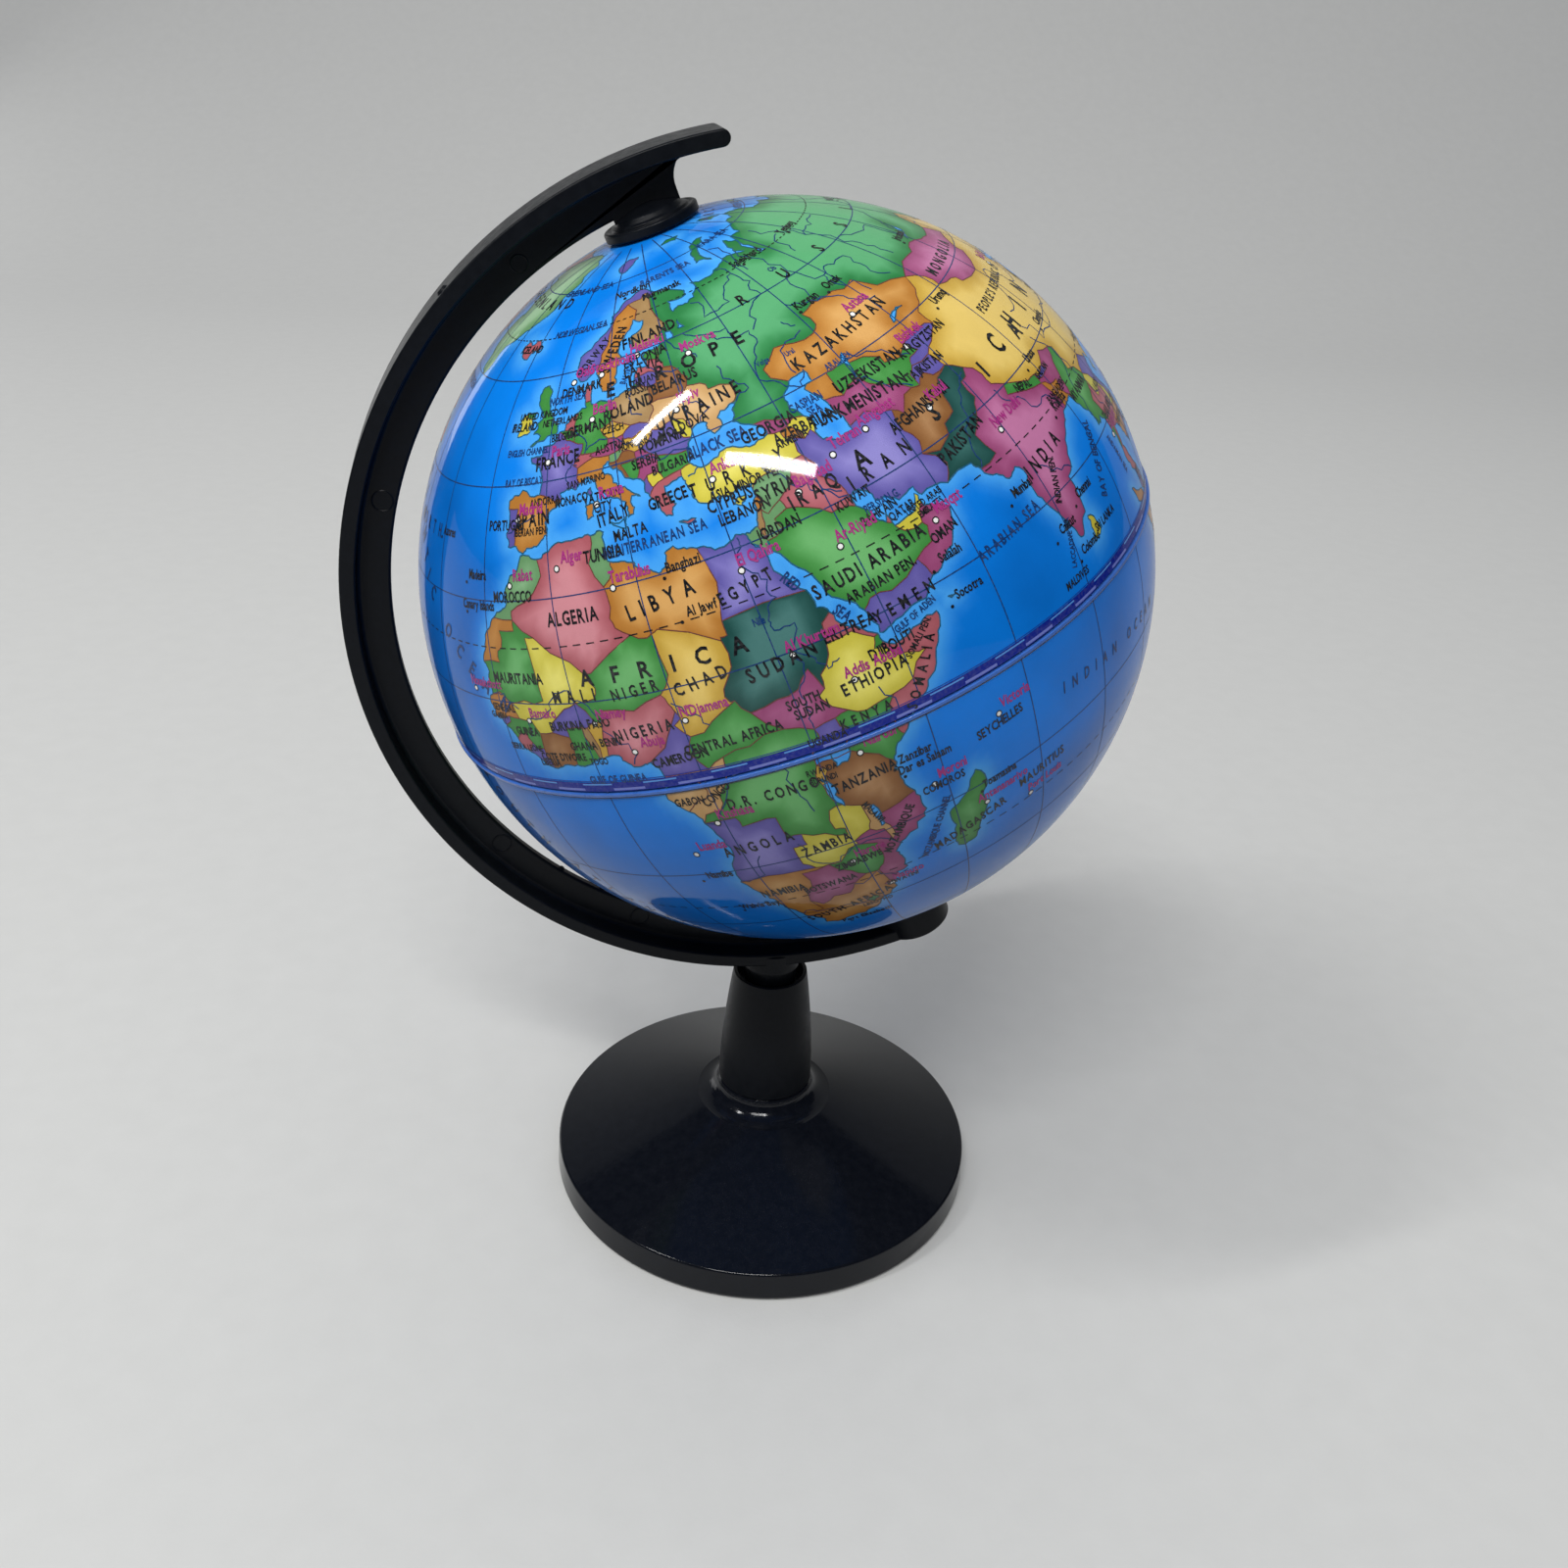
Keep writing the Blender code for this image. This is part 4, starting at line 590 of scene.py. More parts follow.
def moulded(name, colour, roughness, grain=0.25, coat=0.0, ior=1.5):
    """Moulded plastic: fine grain, slow waves from cooling, and faint handling marks."""
    paint = Paint(name, coat_weight=coat, coat_roughness=0.12, ior=ior)
    fine = paint.noise(5200.0, 3.0)
    wave = paint.noise(90.0, 1.0)
    rub = paint.noise(700.0, 4.0, 0.7)
    rubbed = tuple(1.25 * part + 0.002 for part in colour)
    paint.set(base_color=paint.mix(paint.between(rub, 0.35, 0.75), colour, rubbed),
              roughness=paint.between(rub, 0.3, 0.8, roughness * 0.85, min(1.0, roughness * 1.35)))
    paint.bump(fine * grain + wave * 1.2, 0.02 * MM)
    return paint.material


def felt():
    """Pressed grey felt: short fibres in every direction, lighter where they stand up."""
    paint = Paint("charcoal_felt", roughness=0.95, sheen_weight=0.4)
    stretched = paint.add("ShaderNodeMapping", None, Vector=paint.where, Scale=(1.0, 0.25, 1.0))
    crossed = paint.add("ShaderNodeMapping", None, Vector=paint.where, Scale=(0.25, 1.0, 1.0))
    fibres = paint.noise(4200.0, 4.0, 0.8, stretched) * 0.5 + paint.noise(4200.0, 4.0, 0.8, crossed) * 0.5
    standing = paint.between(fibres, 0.35, 0.65)
    paint.set(base_color=paint.mix(standing, (0.012, 0.012, 0.013), (0.075, 0.077, 0.08)))
    paint.bump(fibres, 0.25 * MM)
    return paint.material


def plated():
    """Zinc plate with turning marks."""
    paint = Paint("zinc_plate", metallic=1.0)
    radius = paint.add("ShaderNodeVectorMath", {"operation": "LENGTH"}, paint.add(
        "ShaderNodeVectorMath", {"operation": "MULTIPLY"}, paint.where, (1.0, 1.0, 0.0)), out=1)
    rings = (radius * 16000.0).maths("SINE")
    cloud = paint.noise(900.0, 3.0)
    paint.set(base_color=paint.mix(paint.between(cloud, 0.3, 0.7), (0.56, 0.56, 0.53), (0.7, 0.71, 0.72)),
              roughness=paint.between(cloud, 0.3, 0.7, 0.25, 0.42))
    paint.bump(rings, 0.008 * MM)
    return paint.material


def printed_map():
    """Coloured ink under a clear gloss: the tint comes from the mesh, the sea is clouded with
    deeper blue, and a fine stipple breaks up both."""
    paint = Paint("printed_map", coat_weight=0.65, coat_roughness=0.05, coat_ior=1.42, ior=1.1)
    tint = paint.add("ShaderNodeAttribute", {"attribute_name": "tint"}, out="Color")
    sea = paint.add("ShaderNodeAttribute", {"attribute_name": "sea"}, out="Fac")
    cloud = paint.between(paint.noise(34.0, 2.0), 0.42, 0.68)
    deeper = paint.mix(cloud * sea * 0.75, tint, srgb("0657A8"))
    stipple = paint.noise(9000.0, 2.0, 0.6)
    blot = paint.noise(320.0, 3.0, 0.6)
    paint.set(base_color=paint.tone(deeper, 0.86 + stipple * 0.14 + blot * 0.14),
              roughness=paint.between(blot, 0.3, 0.7, 0.33, 0.42))
    paint.bump(paint.noise(2600.0, 2.0) * 0.3 + paint.noise(130.0, 1.0), 0.012 * MM)
    return paint.material


def ink(name, colour, spread=0.25):
    """Printing ink, a little uneven."""
    paint = Paint(name, coat_weight=0.65, coat_roughness=0.05, coat_ior=1.42, ior=1.1)
    patch = paint.noise(2200.0, 2.0)
    lighter = tuple(c + spread * (0.35 - c) * 0.5 for c in colour)
    paint.set(base_color=paint.mix(paint.between(patch, 0.4, 0.8), colour, lighter),
              roughness=paint.between(patch, 0.3, 0.7, 0.34, 0.44))
    return paint.material


def studio_floor():
    """Pale paper, with a barely seen tooth."""
    paint = Paint("pale_paper", roughness=0.62)
    tooth = paint.noise(160.0, 4.0)
    paint.set(base_color=paint.mix(tooth, srgb("CBCBC8"), srgb("D1D1CE")))
    paint.bump(paint.noise(1400.0, 2.0), 0.02 * MM)
    return paint.material


def make_piece(name, points, faces, material, body, slot, normals=None, corner_normals=None):
    """A mesh object at the origin from arrays of points and of faces, riding on a body."""
    mesh = bpy.data.meshes.new(name)
    mesh.from_pydata(np.asarray(points, float), [], [tuple(face) for face in faces])
    mesh.materials.append(material)
    mesh.shade_smooth()
    if normals is not None:
        mesh.normals_split_custom_set_from_vertices(np.asarray(normals, float))
    if corner_normals is not None:
        mesh.normals_split_custom_set(np.asarray(corner_normals, float))
    item = bpy.data.objects.new(name, mesh)
    bpy.context.scene.collection.objects.link(item)
    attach(item, body)
    return item


def joined(shapes):
    """Several (points, faces, normals) as one; faces are lists because their lengths differ."""
    points, faces, normals, start = [], [], [], 0
    for shape_points, shape_faces, shape_normals in shapes:
        points.append(shape_points)
        normals.append(shape_normals)
        faces += [tuple(start + int(v) for v in face) for face in shape_faces]
        start += len(shape_points)
    return np.concatenate(points), faces, np.concatenate(normals)


def grid_faces(rows, columns, close_rows=False, close_columns=False):
    """Quads of a grid whose point (i, j) is number i * columns + j."""
    i = np.arange(rows if close_rows else rows - 1)[:, None]
    j = np.arange(columns if close_columns else columns - 1)[None, :]
    below = (i + 1) % rows
    right = (j + 1) % columns
    return np.stack([i * columns + j, i * columns + right, below * columns + right, below * columns + j],
                    -1).reshape(-1, 4)


def soft_corners(corners, steps=5, closed=False):
    """A run of (x, y, radius) corners with each corner turned into an arc of its radius, and
    the outward normal at each point: to the left of the run."""
    spots = np.array([corner[:2] for corner in corners], float)
    points, normals = [], []
    for index, (x, y, radius) in enumerate(corners):
        here = np.array([x, y])
        if index in (0, len(corners) - 1) and not closed:
            along = spots[1] - spots[0] if index == 0 else spots[-1] - spots[-2]
            along = along / np.linalg.norm(along)
            points.append(here[None])
            normals.append(np.array([[-along[1], along[0]]]))
            continue
        before, after = spots[index - 1] - here, spots[(index + 1) % len(spots)] - here
        room = 0.48 * min(np.linalg.norm(before), np.linalg.norm(after))
        before, after = before / np.linalg.norm(before), after / np.linalg.norm(after)
        half = 0.5 * math.acos(max(-1.0, min(1.0, float(before @ after))))
        reach = min(radius / max(math.tan(half), 1e-6), room)
        radius = reach * math.tan(half)
        middle = (before + after) / max(np.linalg.norm(before + after), 1e-9)
        centre = here + middle * math.hypot(reach, radius)
        side = 1.0 if before[0] * after[1] - before[1] * after[0] > 0.0 else -1.0
        first, last = here + before * reach - centre, here + after * reach - centre
        start = math.atan2(first[1], first[0])
        sweep = (math.atan2(last[1], last[0]) - start + math.pi) % math.tau - math.pi
        angles = start + sweep * np.linspace(0.0, 1.0, steps + 1)
        outward = np.stack([np.cos(angles), np.sin(angles)], 1)
        points.append(centre + radius * outward)
        normals.append(side * outward)
    return np.concatenate(points), np.concatenate(normals)


def turned(profile, normals, origin=(0.0, 0.0, 0.0), axis=(0.0, 0.0, 1.0), count=96, closed=False):
    """A profile of (radius, height) turned about an axis: the point at turn t is
    origin + radius (cos t side + sin t front) + height axis. The profile runs down its outer
    side, so that faces look outwards. A profile that isn't closed starts and ends at the axis,
    where one small face closes it."""
    axis = np.asarray(axis, float)
    side = np.cross([0.0, 1.0, 0.0], axis)
    side = side / np.linalg.norm(side)
    front = np.cross(axis, side)
    turn = np.arange(count) * math.tau / count
    ring = np.cos(turn)[:, None] * side + np.sin(turn)[:, None] * front
    points = np.asarray(origin) + profile[:, None, :1] * ring + profile[:, None, 1:] * axis
    leaning = normals[:, None, :1] * ring + normals[:, None, 1:] * axis
    faces = grid_faces(len(profile), count, closed, True)[:, ::-1].tolist()
    if not closed:
        faces.append(list(range(count)))
        faces.append(list(range((len(profile) - 1) * count, len(profile) * count))[::-1])
    return points.reshape(-1, 3), faces, leaning.reshape(-1, 3)


def turned_corners(corners, steps=5, **place):
    """A turned shape from (radius, height, rounding) corners in millimetres, down its outer side."""
    points, normals = soft_corners(corners, steps)
    return turned(points * MM, normals, **place)


def plate(outline, sides, half, rounding, steps=4):
    """A flat plate in the XZ plane: the outline drawn in by (1 - cos a) times the rounding
    while it climbs towards Y = half, for a from 0 to a right angle, and the same behind. The
    two faces are closed with one face each."""
    lean = np.linspace(0.0, math.pi / 2.0, steps + 1)
    levels = np.concatenate([-lean[::-1], lean])
    inset = rounding * (1.0 - np.cos(levels))
    depth = np.sign(levels + 1e-9 * (np.arange(len(levels)) - steps - 0.5)) * (half - rounding)
    depth = depth + rounding * np.sin(levels)
    flat = outline[None] - inset[:, None, None] * sides[None]
    points = np.stack([flat[..., 0], np.broadcast_to(depth[:, None], flat.shape[:2]), flat[..., 1]], -1)
    cosine = np.cos(levels)[:, None, None]
    normals = np.stack([(sides * cosine)[..., 0], np.broadcast_to(np.sin(levels)[:, None], flat.shape[:2]),
                        (sides * cosine)[..., 1]], -1)
    count = len(outline)
    rows = len(levels)
    faces = grid_faces(rows, count, close_columns=True)[:, ::-1].tolist()
    faces.append(list(range(count)))
    faces.append(list(range((rows - 1) * count, rows * count))[::-1])
    return points.reshape(-1, 3), faces, normals.reshape(-1, 3)


def arm_spot(radius, angle):
    """(x, z) about the arm's centre at an angle from straight up towards -X, in metres."""
    return np.stack([-radius * np.sin(angle), radius * np.cos(angle) + ARM_CENTRE[2]], -1)


# ---------------------------------------------------------------- the arm
WEB_INNER, BAND_INNER, BAND_OUTER = 57.6 * MM, 62.2 * MM, 64.4 * MM
BAND_TIP = AXIS_TILT - (13.0 * MM - 1.1 * MM) / (BAND_INNER + 1.1 * MM)
SOUTH_END = math.pi + AXIS_TILT - (6.0 - 2.7) * MM / (BAND_INNER + 1.1 * MM)


def band():
    """The arm's outer band: an arc 2.2 mm deep and 9 mm wide with a rounded tip."""
    sweep = np.linspace(SOUTH_END, BAND_TIP, 150)
    tip = np.linspace(0.0, math.pi, 13)[1:-1]
    middle = BAND_INNER + 1.1 * MM
    outward = np.array([-math.sin(BAND_TIP), math.cos(BAND_TIP)])
    onward = np.array([math.cos(BAND_TIP), math.sin(BAND_TIP)])
    end = np.cos(tip)[:, None] * outward + np.sin(tip)[:, None] * onward
    outer = arm_spot(BAND_OUTER, sweep)
    inner = arm_spot(BAND_INNER, sweep[::-1])
    away = np.stack([-np.sin(sweep), np.cos(sweep)], -1)
    outline = np.concatenate([outer, arm_spot(middle, BAND_TIP) + 1.1 * MM * end, inner])
    sides = np.concatenate([away, end, -away[::-1]])
    return plate(outline[::-1], sides[::-1], 4.5 * MM, 0.32 * MM)


def web():
    """The rib inside the band, and the neck that comes down to the north cup with a hollow
    fillet on its right."""
    root = BAND_INNER + 0.8 * MM
    half_neck, fillet, bottom = 4.55 * MM, 3.8 * MM, 55.9 * MM
    north = AXIS_TILT - math.asin((half_neck + fillet) / root)
    left = AXIS_TILT + math.asin(half_neck / WEB_INNER)
    up = np.array([-math.sin(AXIS_TILT), math.cos(AXIS_TILT)])
    across = np.array([math.cos(AXIS_TILT), math.sin(AXIS_TILT)])
    ball_centre = np.array([CENTRE[0], CENTRE[2]])

    def neck(offset, height):
        return ball_centre + np.multiply.outer(offset, across) + np.multiply.outer(height, up)

    outer = np.linspace(SOUTH_END, north, 140)
    turn = np.linspace(0.0, math.pi / 2.0, 12)
    hollow = neck(half_neck + fillet * (1.0 - np.sin(turn)), 55.0 * MM + 1.5 * MM + fillet * np.cos(turn))
    hollow_side = np.sin(turn)[:, None] * across - np.cos(turn)[:, None] * up
    feet = neck(np.array([half_neck, -half_neck]), np.array([bottom - 2.0 * MM] * 2))
    inner = np.linspace(left, SOUTH_END, 140)
    away_out = np.stack([-np.sin(outer), np.cos(outer)], -1)
    away_in = np.stack([-np.sin(inner), np.cos(inner)], -1)
    outline = np.concatenate([arm_spot(root, outer), hollow, feet, arm_spot(WEB_INNER, inner)])
    sides = np.concatenate([away_out, hollow_side, [across, -across], -away_in])
    return plate(outline[::-1], sides[::-1], 0.9 * MM, 0.45 * MM)


def root_fillets():
    """The hollow fillets where rib and band meet, one on each side: a quarter circle of
    0.7 mm carried along the arc."""
    radius = 0.7 * MM
    turn = np.linspace(0.0, math.pi / 2.0, 6)
    sweep = np.linspace(math.radians(24.0), SOUTH_END, 130)
    shapes = []
    for hand in (1.0, -1.0):
        out = BAND_INNER - radius * (1.0 - np.sin(turn))
        y = hand * (0.9 * MM + radius * (1.0 - np.cos(turn)))
        flat = arm_spot(out[None, :], sweep[:, None])
        points = np.stack([flat[..., 0], np.broadcast_to(y, flat.shape[:2]), flat[..., 1]], -1)
        lean_out, lean_y = -np.sin(turn), hand * np.cos(turn)
        normals = np.stack([np.broadcast_to(-np.sin(sweep)[:, None], flat.shape[:2]) * lean_out,
                            np.broadcast_to(lean_y, flat.shape[:2]),
                            np.broadcast_to(np.cos(sweep)[:, None], flat.shape[:2]) * lean_out], -1)
        faces = grid_faces(len(sweep), len(turn))
        if hand > 0.0:
            faces = faces[:, ::-1]
        shapes.append((points.reshape(-1, 3), faces, normals.reshape(-1, 3)))
    return shapes


def on_arm(radius, angle, y=0.0):
    """A point of the arm in space."""
    x, z = arm_spot(radius, angle)
    return np.array([x, y, z])


def make_arm(black):
    """Band, rib, cup, boss, peg and the marks that the mould left, in one moulding."""
    south = -NORTH
    cup = turned_corners([
        (0.01, 56.15, 0.0), (1.4, 56.0, 2.0), (4.3, 55.2, 0.5), (4.75, 54.62, 0.35), (5.3, 54.45, 0.2),
        (5.42, 54.15, 0.12), (5.75, 54.12, 0.15), (6.1, 54.3, 0.3), (6.45, 54.1, 0.25), (6.45, 53.0, 0.3),
        (6.05, 52.9, 0.15), (5.4, 53.1, 0.2), (4.75, 54.0, 0.2), (1.8, 54.05, 0.1), (1.8, 47.5, 0.3),
        (0.01, 47.5, 0.0)], steps=4, origin=CENTRE, axis=NORTH, count=112)
    boss = turned_corners([
        (0.01, 47.5, 0.0), (1.8, 47.5, 0.3), (1.8, 54.1, 0.1), (4.75, 54.1, 0.2), (5.0, 53.1, 0.12),
        (6.0, 53.0, 0.25), (6.0, 66.3, 0.55), (4.45, 66.3, 0.2), (4.4, 58.8, 0.3), (0.01, 58.8, 0.0)],
        origin=CENTRE, axis=south, count=96)
    boss = (boss[0], [face[::-1] for face in boss[1]], -boss[2])
    peg = turned_corners([
        (0.01, 44.6, 0.0), (4.8, 44.6, 0.1), (4.8, 41.0, 0.3), (4.35, 40.98, 0.05), (4.3, 37.35, 0.2),
        (3.3, 37.3, 0.1), (3.3, 20.5, 0.5), (0.01, 20.5, 0.0)], count=72)
    shapes = [band(), web(), cup, boss, peg, *root_fillets()]
    for angle, radius, size, y, hand in (
            (132.6, 59.5, 1.5, -0.9, -1.0), (76.0, 59.6, 1.5, -0.9, -1.0), (158.0, 59.6, 1.5, -0.9, -1.0),
            (132.6, 59.5, 1.5, 0.9, 1.0), (76.0, 59.6, 1.5, 0.9, 1.0), (40.0, 59.8, 1.2, -0.9, -1.0)):
        shapes.append(turned_corners([(0.01, 0.02, 0.0), (size - 0.2, 0.02, 0.05), (size - 0.1, 0.09, 0.04),
                                      (size + 0.05, 0.0, 0.05), (size + 0.2, -0.1, 0.0)],
                                     origin=on_arm(radius * MM, math.radians(angle), y * MM),
                                     axis=(0.0, hand, 0.0001), count=40))
    gate = math.radians(48.6)
    shapes.append(turned_corners([(0.01, 0.38, 0.0), (0.6, 0.34, 0.15), (0.95, 0.0, 0.2), (1.0, -0.3, 0.0)],
                                 origin=on_arm(BAND_OUTER, gate, -2.6 * MM),
                                 axis=(-math.sin(gate), 0.0, math.cos(gate)), count=28))
    for angle in (143.0, 150.5):
        lean = math.radians(angle)
        shapes.append(turned_corners([(0.01, 0.3, 0.0), (0.35, 0.26, 0.1), (0.6, -0.05, 0.1),
                                      (0.62, -0.3, 0.0)], origin=on_arm(WEB_INNER, lean),
                                     axis=(math.sin(lean), 0.0, -math.cos(lean)), count=20))
    points, faces, normals = joined(shapes)
    arm = make_piece("arm_moulding", points, faces, black, "arm", "black_satin", normals)
    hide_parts("meridian_arm")


# ---------------------------------------------------------------- the stand
def make_base(black):
    """The round base: a straight rim with a small round, a shallow cone, a hollow flare up to
    the collar, and the hollow underside."""
    flare = [(8.05 + 3.65 * (1.0 - math.cos(t)), 14.0 + 2.9 * (1.0 - math.sin(t)), 0.0)
             for t in np.linspace(0.05, math.pi / 2.0, 14)]
    corners = [(6.6, 17.2, 0.1), (7.75, 17.2, 0.1), (8.05, 16.85, 0.12)] + flare
    corners += [(36.1, 5.28, 0.55), (36.35, 0.3, 0.5), (34.55, 0.3, 0.2), (34.3, 3.2, 0.2), (8.8, 12.9, 0.2),
                (8.55, 6.9, 0.1), (1.45, 6.9, 0.1), (1.45, 9.5, 0.1), (6.6, 9.5, 0.1)]
    points, normals = soft_corners([(r, h, max(e, 0.02)) for r, h, e in corners], 5, closed=True)
    shape = turned(points * MM, normals, count=180, closed=True)
    base = make_piece("base_moulding", *shape[:2], black, "stand", "black_gloss", normals=shape[2])
    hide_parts("base_shell")


def make_stem(black):
    """The tapered column: its radius grows downwards by 1.8 (1 - (1 - d) ** 1.75) mm for a
    depth d from 0 to 1, with a sunk ring at the top where the arm's boss turns."""
    down = np.linspace(0.0, 1.0, 26)
    side = [(6.25 + 1.8 * (1.0 - (1.0 - d) ** 1.75), 39.2 - 21.6 * d, 0.0) for d in down]
    corners = [(3.4, 37.0, 0.0), (5.35, 37.0, 0.2), (5.6, 39.5, 0.15), (6.2, 39.5, 0.2)] + side
    corners += [(8.0, 17.5, 0.05), (6.3, 17.5, 0.1), (6.3, 9.8, 0.3), (1.35, 9.8, 0.1), (1.35, 20.2, 0.1),
                (3.4, 20.2, 0.1)]
    points, normals = soft_corners([(r, h, max(e, 0.02)) for r, h, e in corners], 4, closed=True)
    shape = turned(points * MM, normals, count=128, closed=True)
    stem = make_piece("stem_moulding", *shape[:2], black, "stand", "black_satin", normals=shape[2])
    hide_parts("stem")


def make_ring(pale):
    """The joining ring: a short tube inside the seam with a fin that stands just proud."""
    corners = [(51.3, 3.0, 0.2), (51.3, 0.25, 0.05), (53.3, 0.25, 0.12), (53.3, -0.25, 0.12),
               (51.3, -0.25, 0.05), (51.3, -3.0, 0.2), (49.8, -3.0, 0.2), (49.8, 3.0, 0.2)]
    points, normals = soft_corners(corners, 4, closed=True)
    shape = turned(points * MM, normals, origin=CENTRE, axis=NORTH, count=256, closed=True)
    ring = make_piece("seam_ring", *shape[:2], pale, "globe", "pale_ring", normals=shape[2])
    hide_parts("equator_joining_ring")


# ---------------------------------------------------------------- the map
def unit(vectors):
    """Vectors brought to length one."""
    return vectors / np.linalg.norm(vectors, axis=-1, keepdims=True)


def turned_about_z(vector, angle):
    """A vector turned about the upright."""
    cosine, sine = math.cos(angle), math.sin(angle)
    return np.array([cosine * vector[0] - sine * vector[1], sine * vector[0] + cosine * vector[1], vector[2]])


# The print sits a little off the ball's own axis: it meets the seam but drifts at the poles
PRINT_TILT, PRINT_TURN, PRINT_SPIN = math.radians(24.52), math.radians(3.35), math.radians(63.68)
printed_north = np.array([-math.sin(PRINT_TILT) * math.cos(PRINT_TURN + VIEW_HEADING),
                          -math.sin(PRINT_TILT) * math.sin(PRINT_TURN + VIEW_HEADING),
                          math.cos(PRINT_TILT)])
printed_zero = unit(np.cross(printed_north, [0.0, 1.0, 0.0]))
PRINT_AXES = np.array([turned_about_z(axis, -VIEW_HEADING) for axis in
                       (printed_zero, np.cross(printed_north, printed_zero), printed_north)])
swing_axis = np.cross(PRINT_AXES[2], NORTH)
swing_sine = np.linalg.norm(swing_axis)
swing_axis = swing_axis / swing_sine
swing_cosine = float(PRINT_AXES[2] @ NORTH)
BALL_AXES = (PRINT_AXES * swing_cosine + np.cross(swing_axis, PRINT_AXES) * swing_sine
             + np.outer(PRINT_AXES @ swing_axis, swing_axis) * (1.0 - swing_cosine))


def on_globe(places):
    """Unit vectors for (longitude, latitude) in degrees. The axes used slide from the ball's
    at the seam to the print's own from 30 degrees on."""
    places = np.asarray(places, float)
    turn = np.radians(places[..., 0]) + PRINT_SPIN
    rise = np.radians(places[..., 1])
    parts = np.stack([np.cos(rise) * np.cos(turn), np.cos(rise) * np.sin(turn), np.sin(rise)], -1)
    share = np.clip(np.abs(places[..., 1:2]) / 30.0, 0.0, 1.0)
    share = share * share * (3.0 - 2.0 * share)
    return unit(parts @ BALL_AXES * (1.0 - share) + parts @ PRINT_AXES * share)


def read_lines(text):
    """The rows of a line list as (is closed, array of places)."""
    rows = []
    for row in text.strip().splitlines():
        if row.startswith("."):
            rows[-1] += ", " + row[1:]
        else:
            rows.append(row)
    return [(row.startswith("o"), np.array([[float(n) for n in pair.split()]
                                            for pair in row.lstrip("o ").split(",")])) for row in rows]


def wandering(points, rounds, amount):
    """A line on the unit ball with each stretch halved again and again, its new middle moved
    sideways by a random share of the stretch's length."""
    for _ in range(rounds):
        first, last = points[:-1], points[1:]
        sideways = np.cross(first, last)
        middle = unit(first + last) + sideways * rng.normal(0.0, amount, (len(first), 1)).clip(-0.3, 0.3)
        fresh = np.empty((2 * len(points) - 1, 3))
        fresh[0::2], fresh[1::2] = points, unit(middle)
        points = fresh
    return points


def draw_lines(text, rounds, amount, meet=None, reach=1.6):
    """Lines on the unit ball. Where meet is given, a loose end within reach degrees of what
    is drawn already is carried on to it."""
    drawn = []
    for closed, places in read_lines(text):
        points = on_globe(places)
        if closed:
            points = np.concatenate([points, points[:1]])
        elif meet is not None:
            known = np.concatenate(meet + drawn)
            for end in (0, -1):
                near = known @ points[end]
                best = int(near.argmax())
                if near[best] > math.cos(math.radians(reach)):
                    points[end] = known[best]
        drawn.append(wandering(points, rounds, amount))
    return drawn


def ribbons(lines, width, lift):
    """Flat ribbons along lines on the ball: each point is doubled sideways by half the width."""
    points, faces, start = [], [], 0
    for line in lines:
        along = np.gradient(line, axis=0)
        sideways = unit(np.cross(along, line)) * (width / 2.0)
        out = line * (BALL + lift)
        points.append(np.stack([out - sideways, out + sideways], 1).reshape(-1, 3) + CENTRE)
        faces.append(grid_faces(len(line), 2) + start)
        start += 2 * len(line)
    return np.concatenate(points), np.concatenate(faces)


def dashed(line, dash, gap):
    """A line cut into dashes by counts of points."""
    return [line[start:start + dash + 1] for start in range(0, len(line) - dash, dash + gap)]


def print_lines(name, lines, width, lift, material):
    """One printed piece of many ribbons."""
    points, faces = ribbons(lines, width * MM, lift * MM)
    return make_piece(name, points, faces, material, "globe", "printed_shell", normals=unit(points - CENTRE))


def ball_plane(directions):
    """A half ball laid flat from its pole: the distance is the angle from the pole in degrees."""
    height = directions @ NORTH
    side, front = BALL_AXES[0], BALL_AXES[1]
    away = np.degrees(np.arccos(np.clip(height, -1.0, 1.0)))
    turn = np.arctan2(directions @ front, directions @ side)
    return np.stack([away * np.cos(turn), away * np.sin(turn)], -1)


def from_plane(flat, hand):
    """The unit vectors of points laid flat by ball_plane; hand is -1 for the south half."""
    away = np.radians(np.hypot(flat[:, 0], flat[:, 1]))
    turn = np.arctan2(flat[:, 1], flat[:, 0])
    ring = np.cos(turn)[:, None] * BALL_AXES[0] + np.sin(turn)[:, None] * BALL_AXES[1]
    return np.sin(away)[:, None] * ring + hand * np.cos(away)[:, None] * NORTH


TINTS = {"rose": "CB8189", "orange": "D29C57", "purple": "857DC2", "teal": "41706B", "magenta": "B96C97",
         "amber": "DFBE62", "yellow": "E6DC68", "green": "63AB62", "pine": "4F9E66", "mint": "8DB88A",
         "brown": "AB7F55", "tan": "BFA277", "peach": "E2BE8B", "ice": "D9DCE8"}
SEA, SHALLOW = np.array(srgb("0880E8")), np.array(srgb("55B0F4"))
LIP_ANGLE = math.degrees(math.asin(0.55 / BALL_MM))
POLE_HOLE = math.degrees(math.asin(3.3 / BALL_MM))
WALL = 1.4 * MM


def flow(count, pairs):
    """The lowest number reachable from each face across the joined pairs."""
    label = np.arange(count)
    while True:
        before = label.copy()
        low = np.minimum(label[pairs[:, 0]], label[pairs[:, 1]])
        np.minimum.at(label, pairs[:, 0], low)
        np.minimum.at(label, pairs[:, 1], low)
        label = label[label]
        if (label == before).all():
            return label


def nearest(points, lines):
    """The angle in degrees from each point to the nearest of the lines' points."""
    known = np.concatenate(lines).astype(np.float32)
    best = np.empty(len(points))
    for start in range(0, len(points), 2000):
        stop = start + 2000
        best[start:stop] = (points[start:stop].astype(np.float32) @ known.T).max(1)
    return np.degrees(np.arccos(np.clip(best, -1.0, 1.0)))


